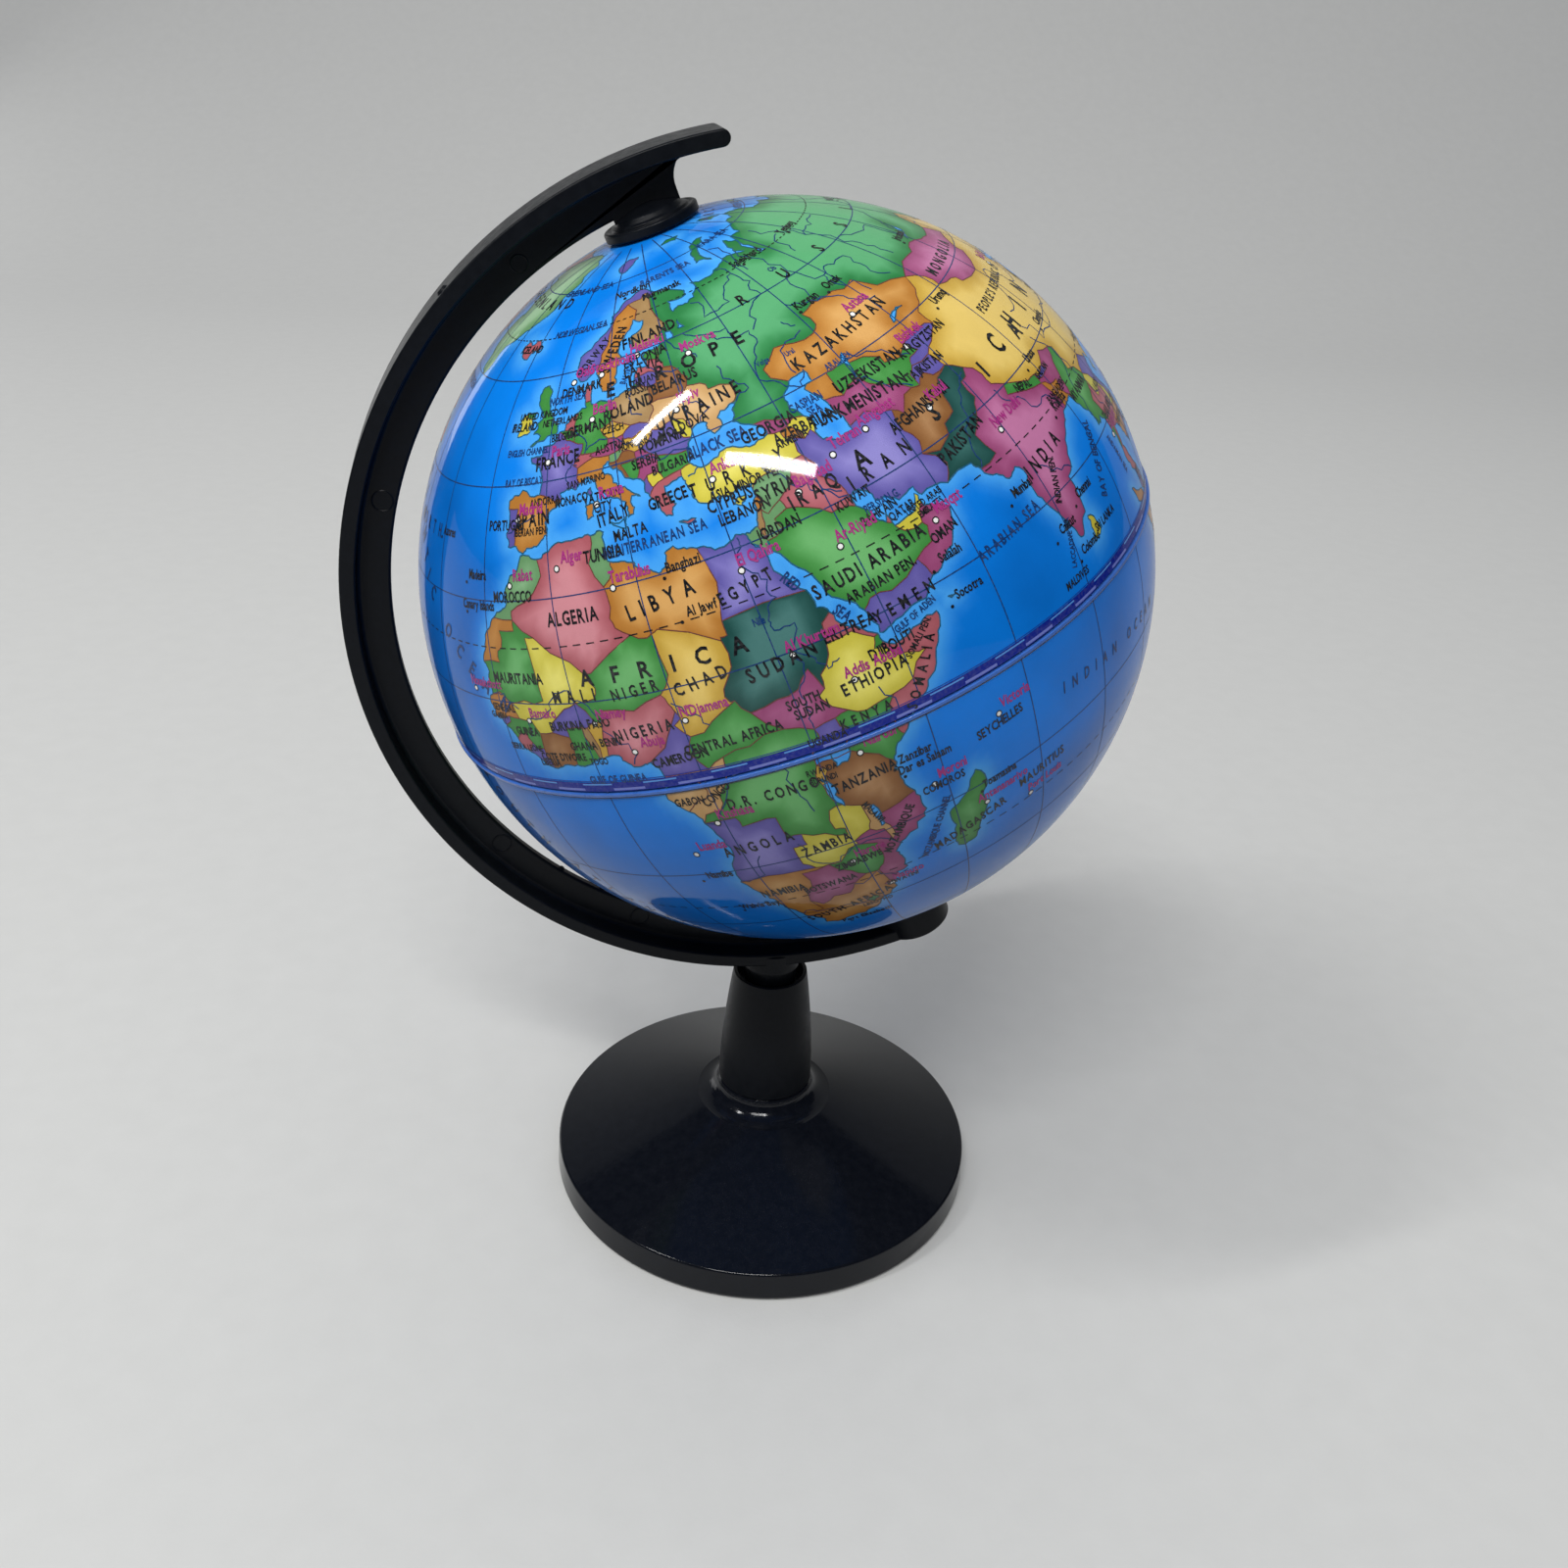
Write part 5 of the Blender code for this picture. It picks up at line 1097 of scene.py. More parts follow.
def pour_tints(corners, faces, seeds):
    """Which seed lies in which face, by the signs of three cross products in the flat."""
    a, b, c = (corners[faces[:, k]] for k in range(3))
    found = np.full(len(seeds), -1)
    for index, seed in enumerate(seeds):
        signs = [(q[:, 0] - p[:, 0]) * (seed[1] - p[:, 1]) - (q[:, 1] - p[:, 1]) * (seed[0] - p[:, 0])
                 for p, q in ((a, b), (b, c), (c, a))]
        inside = np.flatnonzero((np.array(signs) >= 0.0).all(0))
        found[index] = inside[0] if len(inside) else -1
    return found


def make_half(name, node, hand, coasts, borders, filling, seeds, material):
    """One printed half of the ball. The lines and a scatter of points are laid flat and
    joined into triangles that keep every line whole; each closed land is flooded with its
    tint, deeper near its edge, and the sea is paler near a coast. The wall is the same
    surface 1.4 mm further in."""
    reach = 90.0 - LIP_ANGLE
    rim = 360
    turn = np.arange(rim) * math.tau / rim
    circle = reach * np.stack([np.cos(turn), np.sin(turn)], 1)
    hole_turn = np.arange(48) * math.tau / 48
    hole = POLE_HOLE * np.stack([np.cos(hole_turn), np.sin(hole_turn)], 1)
    flats, links, start = [circle, hole], [], rim + 48
    links.append(np.stack([np.arange(rim), (np.arange(rim) + 1) % rim], 1))
    links.append(rim + np.stack([np.arange(48), (np.arange(48) + 1) % 48], 1))
    for line in coasts + borders:
        flat = ball_plane(line if hand > 0 else mirrored(line))
        keep = np.hypot(flat[:, 0], flat[:, 1]) < reach + 6.0
        both = keep[:-1] & keep[1:]
        flats.append(flat)
        links.append(start + np.flatnonzero(both)[:, None] + [0, 1])
        start += len(flat)
    scatter = ball_plane(filling if hand > 0 else mirrored(filling))
    away = np.hypot(scatter[:, 0], scatter[:, 1])
    flats.append(scatter[(away < reach - 0.4) & (away > POLE_HOLE + 0.5)])
    flats = np.concatenate(flats)
    flats_near = np.hypot(flats[:, 0], flats[:, 1]) < reach + 8.0
    links = (np.cumsum(flats_near) - 1)[np.concatenate(links)]
    corners, edges, faces, _, kept_edges, _ = delaunay_2d_cdt(
        [tuple(p) for p in flats[flats_near].tolist()], [tuple(p) for p in links.tolist()], [], 0, 1e-5, True)
    corners = np.array([tuple(c) for c in corners])
    faces = np.array(faces)
    centres = corners[faces].mean(1)
    away = np.hypot(centres[:, 0], centres[:, 1])
    size = np.cross(corners[faces[:, 1]] - corners[faces[:, 0]], corners[faces[:, 2]] - corners[faces[:, 0]])
    faces = faces[(away < reach) & (away > POLE_HOLE) & (np.abs(size) > 1e-7)]
    size = np.cross(corners[faces[:, 1]] - corners[faces[:, 0]], corners[faces[:, 2]] - corners[faces[:, 0]])
    faces[size < 0.0] = faces[size < 0.0][:, ::-1]
    used, faces = np.unique(faces, return_inverse=True)
    faces = faces.reshape(-1, 3)
    renumber = np.full(len(corners), -1)
    renumber[used] = np.arange(len(used))
    fences = renumber[np.array([e for e, k in zip(edges, kept_edges) if k])]
    fences = fences[(fences >= 0).all(1)]
    corners = corners[used]
    count = len(corners)
    # faces that share an edge which no line runs along
    sides = np.concatenate([faces[:, [0, 1]], faces[:, [1, 2]], faces[:, [2, 0]]])
    side_keys = sides.min(1) * count + sides.max(1)
    order = np.argsort(side_keys, kind="stable")
    key, owner = side_keys[order], np.tile(np.arange(len(faces)), 3)[order]
    twin = np.flatnonzero(key[1:] == key[:-1])
    fence_keys = fences.min(1) * count + fences.max(1)
    open_pairs = twin[~np.isin(key[twin], fence_keys)]
    label = flow(len(faces), np.stack([owner[open_pairs], owner[open_pairs + 1]], 1))
    directions = from_plane(corners, hand)
    # flood
    colours = np.tile(SEA, (len(faces), 1))
    wet = np.ones(len(faces), bool)
    seed_flat = ball_plane(on_globe(seeds["places"]) if hand > 0 else mirrored(on_globe(seeds["places"])))
    seed_away = np.hypot(seed_flat[:, 0], seed_flat[:, 1])
    found = pour_tints(corners, faces, seed_flat)
    sea_labels = {label[face] for face, tint, away in zip(found, seeds["tints"], seed_away)
                  if face >= 0 and tint == "sea" and away < reach}
    taken = set(sea_labels)
    for face, tint, away in zip(found, seeds["tints"], seed_away):
        if face < 0 or away > reach or label[face] in taken:
            continue
        taken.add(label[face])
        area = label == label[face]
        colours[area] = srgb(TINTS[tint])
        wet[area] = False
    # deeper ink towards a land's edge, paler sea towards a coast
    to_line = nearest(directions, coasts + borders)
    to_coast = nearest(directions, coasts)
    corner_line = to_line[faces][..., None]
    corner_coast = to_coast[faces][..., None]
    fade = np.clip(corner_line / 3.2, 0.0, 1.0)
    fade = fade * fade * (3.0 - 2.0 * fade)
    land = colours[:, None, :] ** (1.35 - 0.45 * fade) * (0.8 + 0.25 * fade)
    near = np.exp(-(corner_coast / 1.6) ** 2) * 0.75
    water = SEA * (1.0 - near) + SHALLOW * near
    tint = np.where(wet[:, None, None], water, land)
    # outer wall, inner wall and the two edges
    outer = CENTRE + directions * BALL
    inner = CENTRE + directions * (BALL - WALL)
    _, first, times = np.unique(side_keys, return_index=True, return_counts=True)
    edge = sides[first[times == 1]]
    if hand < 0:
        outer_faces = faces[:, ::-1]
        tint = tint[:, ::-1]
        edge = edge[:, ::-1]
    else:
        outer_faces = faces
    a, b = edge[:, 0], edge[:, 1]
    rims = np.stack([b, a, a + count, b + count], 1)
    all_faces = [*outer_faces.tolist(), *(outer_faces[:, ::-1] + count).tolist(), *rims.tolist()]
    points = np.concatenate([outer, inner])
    across = points[rims[:, 1]] - points[rims[:, 0]]
    inward = points[rims[:, 2]] - points[rims[:, 1]]
    rim_normals = np.repeat(unit(np.cross(across, inward)), 4, axis=0)
    corner_normals = np.concatenate([directions[outer_faces].reshape(-1, 3),
                                     -directions[outer_faces[:, ::-1]].reshape(-1, 3), rim_normals])
    shell = make_piece(name, points, all_faces, material, "globe", "printed_shell",
                       corner_normals=corner_normals)
    mesh = shell.data
    rest = len(mesh.loops) - 3 * len(faces)
    shade = np.concatenate([tint.reshape(-1, 3), np.tile(srgb("E8E6DE"), (rest, 1))])
    layer = mesh.color_attributes.new("tint", "FLOAT_COLOR", "CORNER")
    shade = np.concatenate([shade, np.ones((len(shade), 1))], 1)
    layer.data.foreach_set("color", shade.astype(np.float32).ravel())
    offing = np.clip((corner_coast if hand > 0 else corner_coast[:, ::-1]).ravel() / 4.0, 0.0, 1.0)
    water_mark = np.concatenate([np.repeat(wet, 3).astype(float) * offing, np.zeros(rest)])
    mesh.attributes.new("sea", "FLOAT", "CORNER").data.foreach_set("value", water_mark.astype(np.float32))
    layout = np.concatenate([corners[outer_faces].reshape(-1, 2) / (2.04 * reach) + 0.5,
                             corners[outer_faces[:, ::-1]].reshape(-1, 2) / (14.0 * reach) + 0.075,
                             np.full((rest - 3 * len(faces), 2), 0.002)])
    mesh.uv_layers.new(name="OFBake").data.foreach_set("uv", layout.astype(np.float32).ravel())
    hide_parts(node)


def mirrored(vectors):
    """The same vectors seen in the plane of the seam."""
    return vectors - 2.0 * np.outer(vectors @ NORTH, NORTH)


def gather_seeds():
    """Every land's tint with its place, and the sea's own places."""
    tints, places = [], []
    for tint, text in [("sea", SEAS), *LANDS.items()]:
        for pair in text.split(","):
            tints.append(tint)
            places.append([float(n) for n in pair.split()])
    return {"tints": tints, "places": np.array(places)}


def make_map(material):
    """Both halves of the ball and all that is printed on them as lines."""
    coasts = draw_lines(COASTS, 2, 0.11)
    borders = draw_lines(BORDERS, 1, 0.07, meet=coasts)
    total = 22000
    index = np.arange(total) + 0.5
    lift = 1.0 - 2.0 * index / total
    spin = math.pi * (1.0 + math.sqrt(5.0)) * index
    level = np.sqrt(1.0 - lift ** 2)
    filling = np.stack([level * np.cos(spin), level * np.sin(spin), lift], 1)
    filling = filling[nearest(filling, coasts + borders) > 0.45]
    seeds = gather_seeds()
    make_half("map_north", "north_hemisphere", 1, coasts, borders, filling, seeds, material)
    make_half("map_south", "south_hemisphere", -1, coasts, borders, filling, seeds, material)
    return coasts, borders


def parallel(latitude, count=720):
    """A circle of latitude, closed."""
    return on_globe(np.stack([np.linspace(0.0, 360.0, count + 1), np.full(count + 1, latitude)], 1))


def print_net(navy, black, coast_ink, border_ink, coasts, borders):
    """Coasts, frontiers, rivers, the 15 degree net, the tropics and polar circles."""
    print_lines("printed_coasts", coasts, 0.17, 0.030, coast_ink)
    print_lines("printed_borders", borders, 0.13, 0.026, border_ink)
    print_lines("printed_rivers", draw_lines(RIVERS, 2, 0.16), 0.16, 0.024, navy)
    climb = np.linspace(-84.0, 84.0, 337)
    net = [on_globe(np.stack([np.full(len(climb), turn), climb], 1)) for turn in range(0, 360, 15)]
    net += [parallel(latitude) for latitude in (-75, -60, -45, -30, -15, 15, 30, 45, 60, 75)]
    print_lines("printed_net", net, 0.15, 0.022, navy)
    dashes = []
    for latitude in (-66.5, -23.45, 23.45, 66.5):
        dashes += dashed(parallel(latitude, 1080), 4, 3)
    print_lines("printed_tropics", dashes, 0.15, 0.034, black)


def print_seam(band_ink, pale_ink, lilac_ink, fine_ink):
    """The scale round the north half's edge: a deep blue line with pale marks above it and
    lilac marks below, turn about every five degrees, and a fine line over them."""
    turn = np.linspace(0.0, math.tau, 721)
    ring = np.cos(turn)[:, None] * BALL_AXES[0] + np.sin(turn)[:, None] * BALL_AXES[1]

    def circle(height):
        rise = math.asin(height / BALL_MM)
        return math.cos(rise) * ring + math.sin(rise) * NORTH

    print_lines("seam_band", [circle(1.25)], 1.35, 0.036, band_ink)
    print_lines("seam_upper_marks", dashed(circle(1.68), 10, 10), 0.34, 0.038, pale_ink)
    print_lines("seam_lower_marks", dashed(circle(0.86)[10:], 10, 10), 0.34, 0.040, lilac_ink)
    print_lines("seam_fine_lines", [circle(2.1), circle(0.62)], 0.09, 0.044, fine_ink)


# ---------------------------------------------------------------- lettering
def word_shape(text):
    """A word as flat triangles: points in letter heights and faces."""
    curve = bpy.data.curves.new("word", "FONT")
    curve.body = text
    curve.align_x = "CENTER"
    curve.resolution_u = 2
    curve.fill_mode = "FRONT"
    curve.offset = 0.024
    item = bpy.data.objects.new("word", curve)
    bpy.context.scene.collection.objects.link(item)
    bpy.context.view_layer.update()
    mesh = bpy.data.meshes.new_from_object(item.evaluated_get(bpy.context.evaluated_depsgraph_get()))
    bpy.data.objects.remove(item, do_unlink=True)
    points = np.empty(3 * len(mesh.vertices))
    mesh.vertices.foreach_get("co", points)
    mesh.calc_loop_triangles()
    faces = np.empty(3 * len(mesh.loop_triangles), int)
    mesh.loop_triangles.foreach_get("vertices", faces)
    bpy.data.meshes.remove(mesh)
    bpy.data.curves.remove(curve)
    return points.reshape(-1, 3)[:, :2], faces.reshape(-1, 3)


GLYPHS = {}
CAP = 0.72


def letter(glyph):
    """One letter about its middle, and how wide it is, kept after the first time."""
    if glyph not in GLYPHS:
        points, faces = word_shape(glyph)
        low, high = points[:, 0].min(), points[:, 0].max()
        points = points - [(low + high) / 2.0, 0.0]
        while True:
            reach = np.linalg.norm(points[faces] - points[np.roll(faces, -1, 1)], axis=2)
            longest = reach.max(1)
            split = longest > 0.5
            if not split.any() or len(faces) > 260:
                break
            long = faces[split]
            side = reach[split].argmax(1)
            rows = np.arange(len(long))
            a, b, c = long[rows, side], long[rows, (side + 1) % 3], long[rows, (side + 2) % 3]
            fresh = len(points) + rows
            points = np.concatenate([points, (points[a] + points[b]) / 2.0])
            faces = np.concatenate([faces[~split], np.stack([a, fresh, c], 1), np.stack([fresh, b, c], 1)])
        GLYPHS[glyph] = (points, faces, high - low)
    return GLYPHS[glyph]


def letters_on_globe(labels, lift):
    """Words printed on the ball. A label is (text, longitude, latitude, height in mm, slope in
    degrees, spacing, narrowness): its letters stand along a line through the place, each turned
    with it."""
    points, faces, start = [], [], 0
    for text, longitude, latitude, height, slope, spacing, narrow in labels:
        scale = height / CAP
        widths = [0.3 if glyph == " " else letter(glyph)[2] for glyph in text]
        steps = np.array(widths) * narrow * scale + spacing * height
        places = np.cumsum(steps) - steps / 2.0 - steps.sum() / 2.0
        cosine, sine = math.cos(math.radians(slope)), math.sin(math.radians(slope))
        for glyph, place in zip(text, places):
            if glyph == " ":
                continue
            shape, tris, _ = letter(glyph)
            along = place + shape[:, 0] * narrow * scale
            above = (shape[:, 1] - CAP / 2.0) * scale
            east = along * cosine - above * sine
            north = along * sine + above * cosine
            rise = latitude + north / DEGREE_MM
            turn = longitude + east / (DEGREE_MM * math.cos(math.radians(latitude)))
            points.append(on_globe(np.stack([turn, rise], 1)) * (BALL + lift * MM) + CENTRE)
            faces.append(tris + start)
            start += len(shape)
    return np.concatenate(points), np.concatenate(faces)


def print_words(name, labels, lift, material):
    """One printed piece of many words."""
    points, faces = letters_on_globe(labels, lift)
    return make_piece(name, points, faces, material, "globe", "printed_shell", normals=unit(points - CENTRE))


def print_towns(name, places, outer, inner, lift, material):
    """Town marks: rings, or discs where inner is nought."""
    sides = 14
    turn = np.arange(sides) * math.tau / sides
    points, faces, start = [], [], 0
    for longitude, latitude in places:
        for radius in (inner, outer):
            east = radius * np.cos(turn) / DEGREE_MM / math.cos(math.radians(latitude))
            north = radius * np.sin(turn) / DEGREE_MM
            spots = np.stack([longitude + east, latitude + north], 1)
            points.append(on_globe(spots) * (BALL + lift * MM) + CENTRE)
        faces.append(grid_faces(2, sides, close_columns=True)[:, ::-1] + start)
        start += 2 * sides
    points = np.concatenate(points)
    return make_piece(name, points, np.concatenate(faces), material, "globe", "printed_shell",
                      normals=unit(points - CENTRE))


def spread(text, height, spacing=0.12, narrow=0.72):
    """Labels from rows of "WORDS longitude latitude [slope [height [spacing]]]"."""
    labels = []
    for row in text.strip().splitlines():
        words, _, numbers = row.partition("|")
        numbers = [float(n) for n in numbers.split()]
        slope = numbers[2] if len(numbers) > 2 else 0.0
        tall = numbers[3] if len(numbers) > 3 else height
        wide = numbers[4] if len(numbers) > 4 else spacing
        labels.append((words.strip(), numbers[0], numbers[1], tall, slope, wide, narrow))
    return labels


COUNTRIES = """
ALGERIA|3.1 27.3 0 1.75 0.12
LIBYA|17.6 27 8 2.0 0.5
EGYPT|29.6 25.2 8 1.55 0.4
SUDAN|30.2 14.2 6 1.95 0.35
CHAD|19.4 15.1 8 1.75 0.45
NIGER|10 15.8 4 1.6 0.4
MALI|0.2 16.1 0 1.8 0.55
MAURITANIA|-9.8 19 0 1.56
MOROCCO|-8.3 30.6 0 1.38 0.05
TUNISIA|10.3 34.4 0 1.5 0.05
NIGERIA|9.3 9.7 4 1.62 0.3
SENEGAL|-14.4 14 0 1.14
GAMBIA|-16 12.6 0 0.96
LIBERIA|-8 5.4 0 1.08
SIERRA LEONE|-12 7.6 0 0.96
BURKINA FASO|-0.4 11.6 2 1.38 0.05
GHANA|-0.8 8.2 0 1.2 0.05
BENIN|3.8 8.6 0 1.2 0.05
TOGO|0.8 5.6 0 0.96
COTE D'IVOIRE|-5.2 6.4 0 1.14 0.05
GUINEA|-10.6 10.4 0 1.26
CAMEROON|12.9 4.7 4 1.38 0.05
SOUTH|31 8.1 2 1.32
SUDAN|31.6 6.5 2 1.32
CENTRAL AFRICA|20.7 5.8 2 1.44 0.1
ETHIOPIA|40.6 7.7 4 1.62 0.2
DJIBOUTI|44 10.6 4 1.44 0.05
ERITREA|40 15.1 0 1.62 0.1
SOMALIA|46.3 5.4 56 1.38 0.5
KENYA|37.8 3 2 1.38 0.4
UGANDA|32.2 1.9 0 1.14
D.R. CONGO|22.8 -3.6 0 1.56 0.25
CONGO|15.6 -1.7 30 1.26
GABON|11.6 -2.1 0 1.14
RWANDA|30 -2.2 0 0.84
BURUNDI|29.8 -3.6 0 0.84
TANZANIA|34.8 -5.4 4 1.5 0.1
ANGOLA|17.6 -11 4 1.62 0.4
ZAMBIA|26.4 -14 6 1.5 0.2
MALAWI|34.2 -11.2 -70 0.96
MOZAMBIQUE|36.4 -15.8 52 1.2 0.1
ZIMBABWE|29.4 -18.8 4 1.26
NAMIBIA|16.8 -21 0 1.5 0.1
BOTSWANA|23.8 -22 4 1.26
SOUTH AFRICA|24 -29.4 14 1.5 0.2
LESOTHO|28.6 -31 0 0.96
ESWATINI|34 -26.6 0 0.96
MADAGASCAR|46.6 -21.4 10 1.5 0.1
COMOROS|44.5 -11.4 0 1.2 0.05
SEYCHELLES|54.5 -7 4 1.32 0.05
MAURITIUS|60 -19 4 1.5 0.1
MALDIVES|73.4 4 0 1.08
SAUDI ARABIA|46.2 21.6 4 1.8 0.2
ARABIAN PEN.|46.4 18.9 4 1.32 0.1
YEMEN|47.8 15 4 1.62 0.55
OMAN|57.2 20.4 8 1.32
IRAQ|43.8 32.6 4 1.8 0.4
IRAN|54.4 31.6 4 1.8 0.9
KUWAIT|48.4 29.6 4 1.14
BAHRAIN|50.6 26.6 4 1.14
QATAR|53.6 25.4 4 1.02
UNITED ARAB|57 24.9 4 0.84
EMIRATES|57.4 23.8 4 0.84
TURKEY|34.4 38.6 0 1.6 0.75
ASIA MINOR PEN.|35.4 37 0 1.2 0.05
SYRIA|38.9 34.9 0 1.68 0.1
JORDAN|37 30.4 0 1.38
CYPRUS|32 35.9 0 1.5
LEBANON|33.4 33.9 0 1.38
GEORGIA|42.2 42.3 0 1.5 0.1
AZERBAIJAN|47.6 40.4 0 1.38
ARMENIA|44.6 39.6 0 0.96
KAZAKHSTAN|64.4 48.6 4 1.7 0.3
UZBEKISTAN|62.6 42.4 -2 1.56 0.1
TURKMENISTAN|57.6 39.7 -4 1.68 0.12
KYRGYZSTAN|75.4 41.6 0 1.32
TAJIKISTAN|71.3 38.6 0 1.2
AFGHANISTAN|65.4 34.8 4 1.5
PAKISTAN|67.6 28.6 10 1.62 0.1
INDIA|78.2 20.2 6 1.9 0.5
INDIAN PEN.|77.4 16.6 60 1.08
NEPAL|84.2 28.2 -14 1.14
BHUTAN|90.6 27.4 0 0.96
BANGLADESH|90 24.2 0 0.96
SRI LANKA|83.6 7.4 0 1.14
MYANMAR|96 21.6 0 1.32
THAILAND|101.2 15.6 0 1.32
LAOS|103 18.8 0 1.08
CAMBODIA|105 12.6 0 0.96
VIETNAM|108.3 13 -75 1.2
MALAYSIA|102.4 4 -60 0.96
INDONESIA|113.5 -1 0 1.8 0.5
PHILIPPINES|124 11 -60 1.32
JAPAN|138.5 37 50 1.8 0.3
CHINA|103 34.5 0 2.9 1.6
PEOPLE'S REPUBLIC OF|103 38.6 0 1.32 0.2
MONGOLIA|102.5 46.8 0 1.6 0.4
KOREA|127.3 37.4 75 1.2
AUSTRALIA|134 -24.6 0 2.9 0.9
TASMANIA|146.6 -43.8 0 0.96
NEW ZEALAND|174 -41.6 50 1.44
PAPUA NEW GUINEA|145 -6.6 0 0.96
SOLOMON IS.|160 -9 -30 0.96
FIJI|178 -18 0 1.08
UKRAINE|32.4 48.8 4 1.8 0.35
MOLDOVA|28.8 47 4 1.26
BELARUS|29.6 53.5 2 1.44
POLAND|18.8 52.2 4 1.56 0.1
GERMANY|9.8 51.1 2 1.38
FRANCE|2.2 47.6 2 1.68 0.1
SPAIN|-3.2 40.4 2 1.8 0.15
PORTUGAL|-9.6 39.9 0 1.26
ITALY|13.2 38.8 8 1.56
SAN MARINO|8.6 44 2 0.9
VATICAN|11.4 41.6 2 1.14
CITY|11.6 40.2 2 1.14
MONACO|5.4 42 2 1.08
ANDORRA|-0.4 42.5 2 0.96
MALTA|15.6 36.2 2 1.32
UNITED KINGDOM|-3.4 54.4 0 0.96
IRELAND|-8.4 53 0 1.14
NETHERLANDS|2.6 53 0 0.9
BELGIUM|3.4 50.7 0 0.96
DENMARK|7.2 57 2 1.26
NORWAY|9.6 61.6 52 1.14 0.15
SWEDEN|15.8 61.8 68 1.44 0.2
FINLAND|26.4 62.2 4 1.62 0.1
ROMANIA|24.4 46.2 2 1.32
SERBIA|20.6 44.3 2 1.2
BULGARIA|25.2 42.8 2 1.14
GREECE|22.8 38.8 2 1.44
ICELAND|-18.6 65 0 1.14
AUSTRIA|14.2 47.6 2 1.02
HUNGARY|19.4 47.1 2 0.96
CZECH|15 49.9 0 0.9
LATVIA|23.4 57.4 4 1.38
ESTONIA|24.4 58.9 4 1.38
LITHUANIA|23.4 55.3 2 0.96
RUSSIA|21.6 54.2 2 1.08
GREENLAND|-41 73 0 1.8 0.5
CANADA|-105 59 0 2.6 1.3
UNITED STATES|-99 39.8 0 2.3 0.5
OF AMERICA|-99 35.6 0 1.8 0.5
ALASKA|-152 65.2 0 1.56
MEXICO|-102.5 24.5 -45 1.6 0.3
CUBA|-79 21.4 -14 0.96
HAITI|-72.6 20.6 0 0.84
JAMAICA|-77.4 17 0 0.84
GUATEMALA|-92.4 13.4 0 0.96
HONDURAS|-84 16.8 0 0.96
NICARAGUA|-84.6 12.7 0 0.96
PANAMA|-80 7.4 0 0.96
COLOMBIA|-73 3.8 0 1.44
VENEZUELA|-66 7.2 0 1.44
GUYANA|-58.6 4.4 -70 0.96
ECUADOR|-80.6 -1.4 0 1.08
BRAZIL|-52.5 -9.5 0 2.8 1.1
PERU|-75.2 -10 -52 1.68 0.3
BOLIVIA|-64.6 -17 0 1.44
CHILE|-72.6 -34 84 1.2 0.5
ARGENTINA|-65.6 -36 76 1.7 0.4
PARAGUAY|-58.6 -23.4 0 1.08
URUGUAY|-55.6 -32.6 0 1.02
ANTARCTICA|60 -80 0 2.4 0.7
"""
CONTINENTS = """
AFRICA|14.6 18.5 -1 2.25 1.17
EUROPE|30.5 55.6 0 2.0 0.92
ASIA|73 33.4 0 2.3 4.1
NORTH AMERICA|-101 47.5 0 2.3 1.0
SOUTH AMERICA|-60 -4 0 2.2 0.6
OCEANIA|145 -15 0 2.0 1.0
"""
OCEANS = """
INDIAN OCEAN|80 -10.4 -7 1.7 0.85
ARABIAN SEA|66 15.4 6 1.5 0.2
BAY OF BENGAL|88.4 14 60 1.38
LACCADIVE SEA|74.6 8.6 70 0.88
ATLANTIC OCEAN|-35 30 -40 2.4 0.9
NORTH|-40 38 0 1.8 0.9
SOUTH ATLANTIC OCEAN|-14 -25 -60 2.2 0.7
NORTH PACIFIC OCEAN|-160 18 0 3.0 1.2
SOUTH PACIFIC OCEAN|-125 -30 0 3.0 1.2
SOUTHERN OCEAN|60 -57 0 1.8 1.0
ARCTIC OCEAN|160 80 0 1.4 0.8
MEDITERRANEAN SEA|19 34.3 0 1.31 0.1
NORWEGIAN SEA|2 67 0 1.06
GREENLAND SEA|-5 75 0 1.12
BARENTS SEA|38 72.6 0 1.12
NORTH SEA|3.4 56 0 1.06
BAY OF BISCAY|-6 45.4 0 0.94
ENGLISH CHANNEL|-6 49.4 0 0.88
BALTIC SEA|19.7 57.6 62 0.75
BLACK SEA|33.4 43.2 0 1.5
CASPIAN|49.8 43 0 1.12
SEA|50.4 41.6 0 1.12
ARAL SEA|59.4 45.6 0 0.88
RED|35.6 23.6 -62 1.38
SEA|40 17.2 -58 1.38
PERSIAN G.|51.8 27.6 0 1
GULF OF ADEN|48.4 12.8 14 0.94
GULF OF GUINEA|2.6 2.6 0 1.19
MOZAMBIQUE CHANNEL|41.4 -18.6 60 1
KARA SEA|70 75 0 1.12
LAPTEV SEA|125 76 0 1.12
SEA OF OKHOTSK|149 54.5 0 1.25
SOUTH CHINA SEA|114 14 60 1.38
PHILIPPINE SEA|132 18 0 1.5
ANDAMAN SEA|95.6 11 -80 0.88
JAVA SEA|111 -5 0 1
TIMOR SEA|126 -11.4 0 1
CORAL SEA|155 -16 0 1.5
TASMAN SEA|160 -38 0 1.3
HUDSON BAY|-86 60 0 1.25
LABRADOR SEA|-54 58 0 1.25
GULF OF MEXICO|-90.5 25.4 0 1.38
CARIBBEAN SEA|-75 15.4 0 1.38
BERING SEA|-178 58.5 0 1.5
SEA OF JAPAN|134.5 40 50 1.12
Nile|29.6 20.4 0 1
Volga|47.4 50.6 0 0.75
Ural|53 50 0 0.75
Ob|66.8 62.8 0 0.88
"""
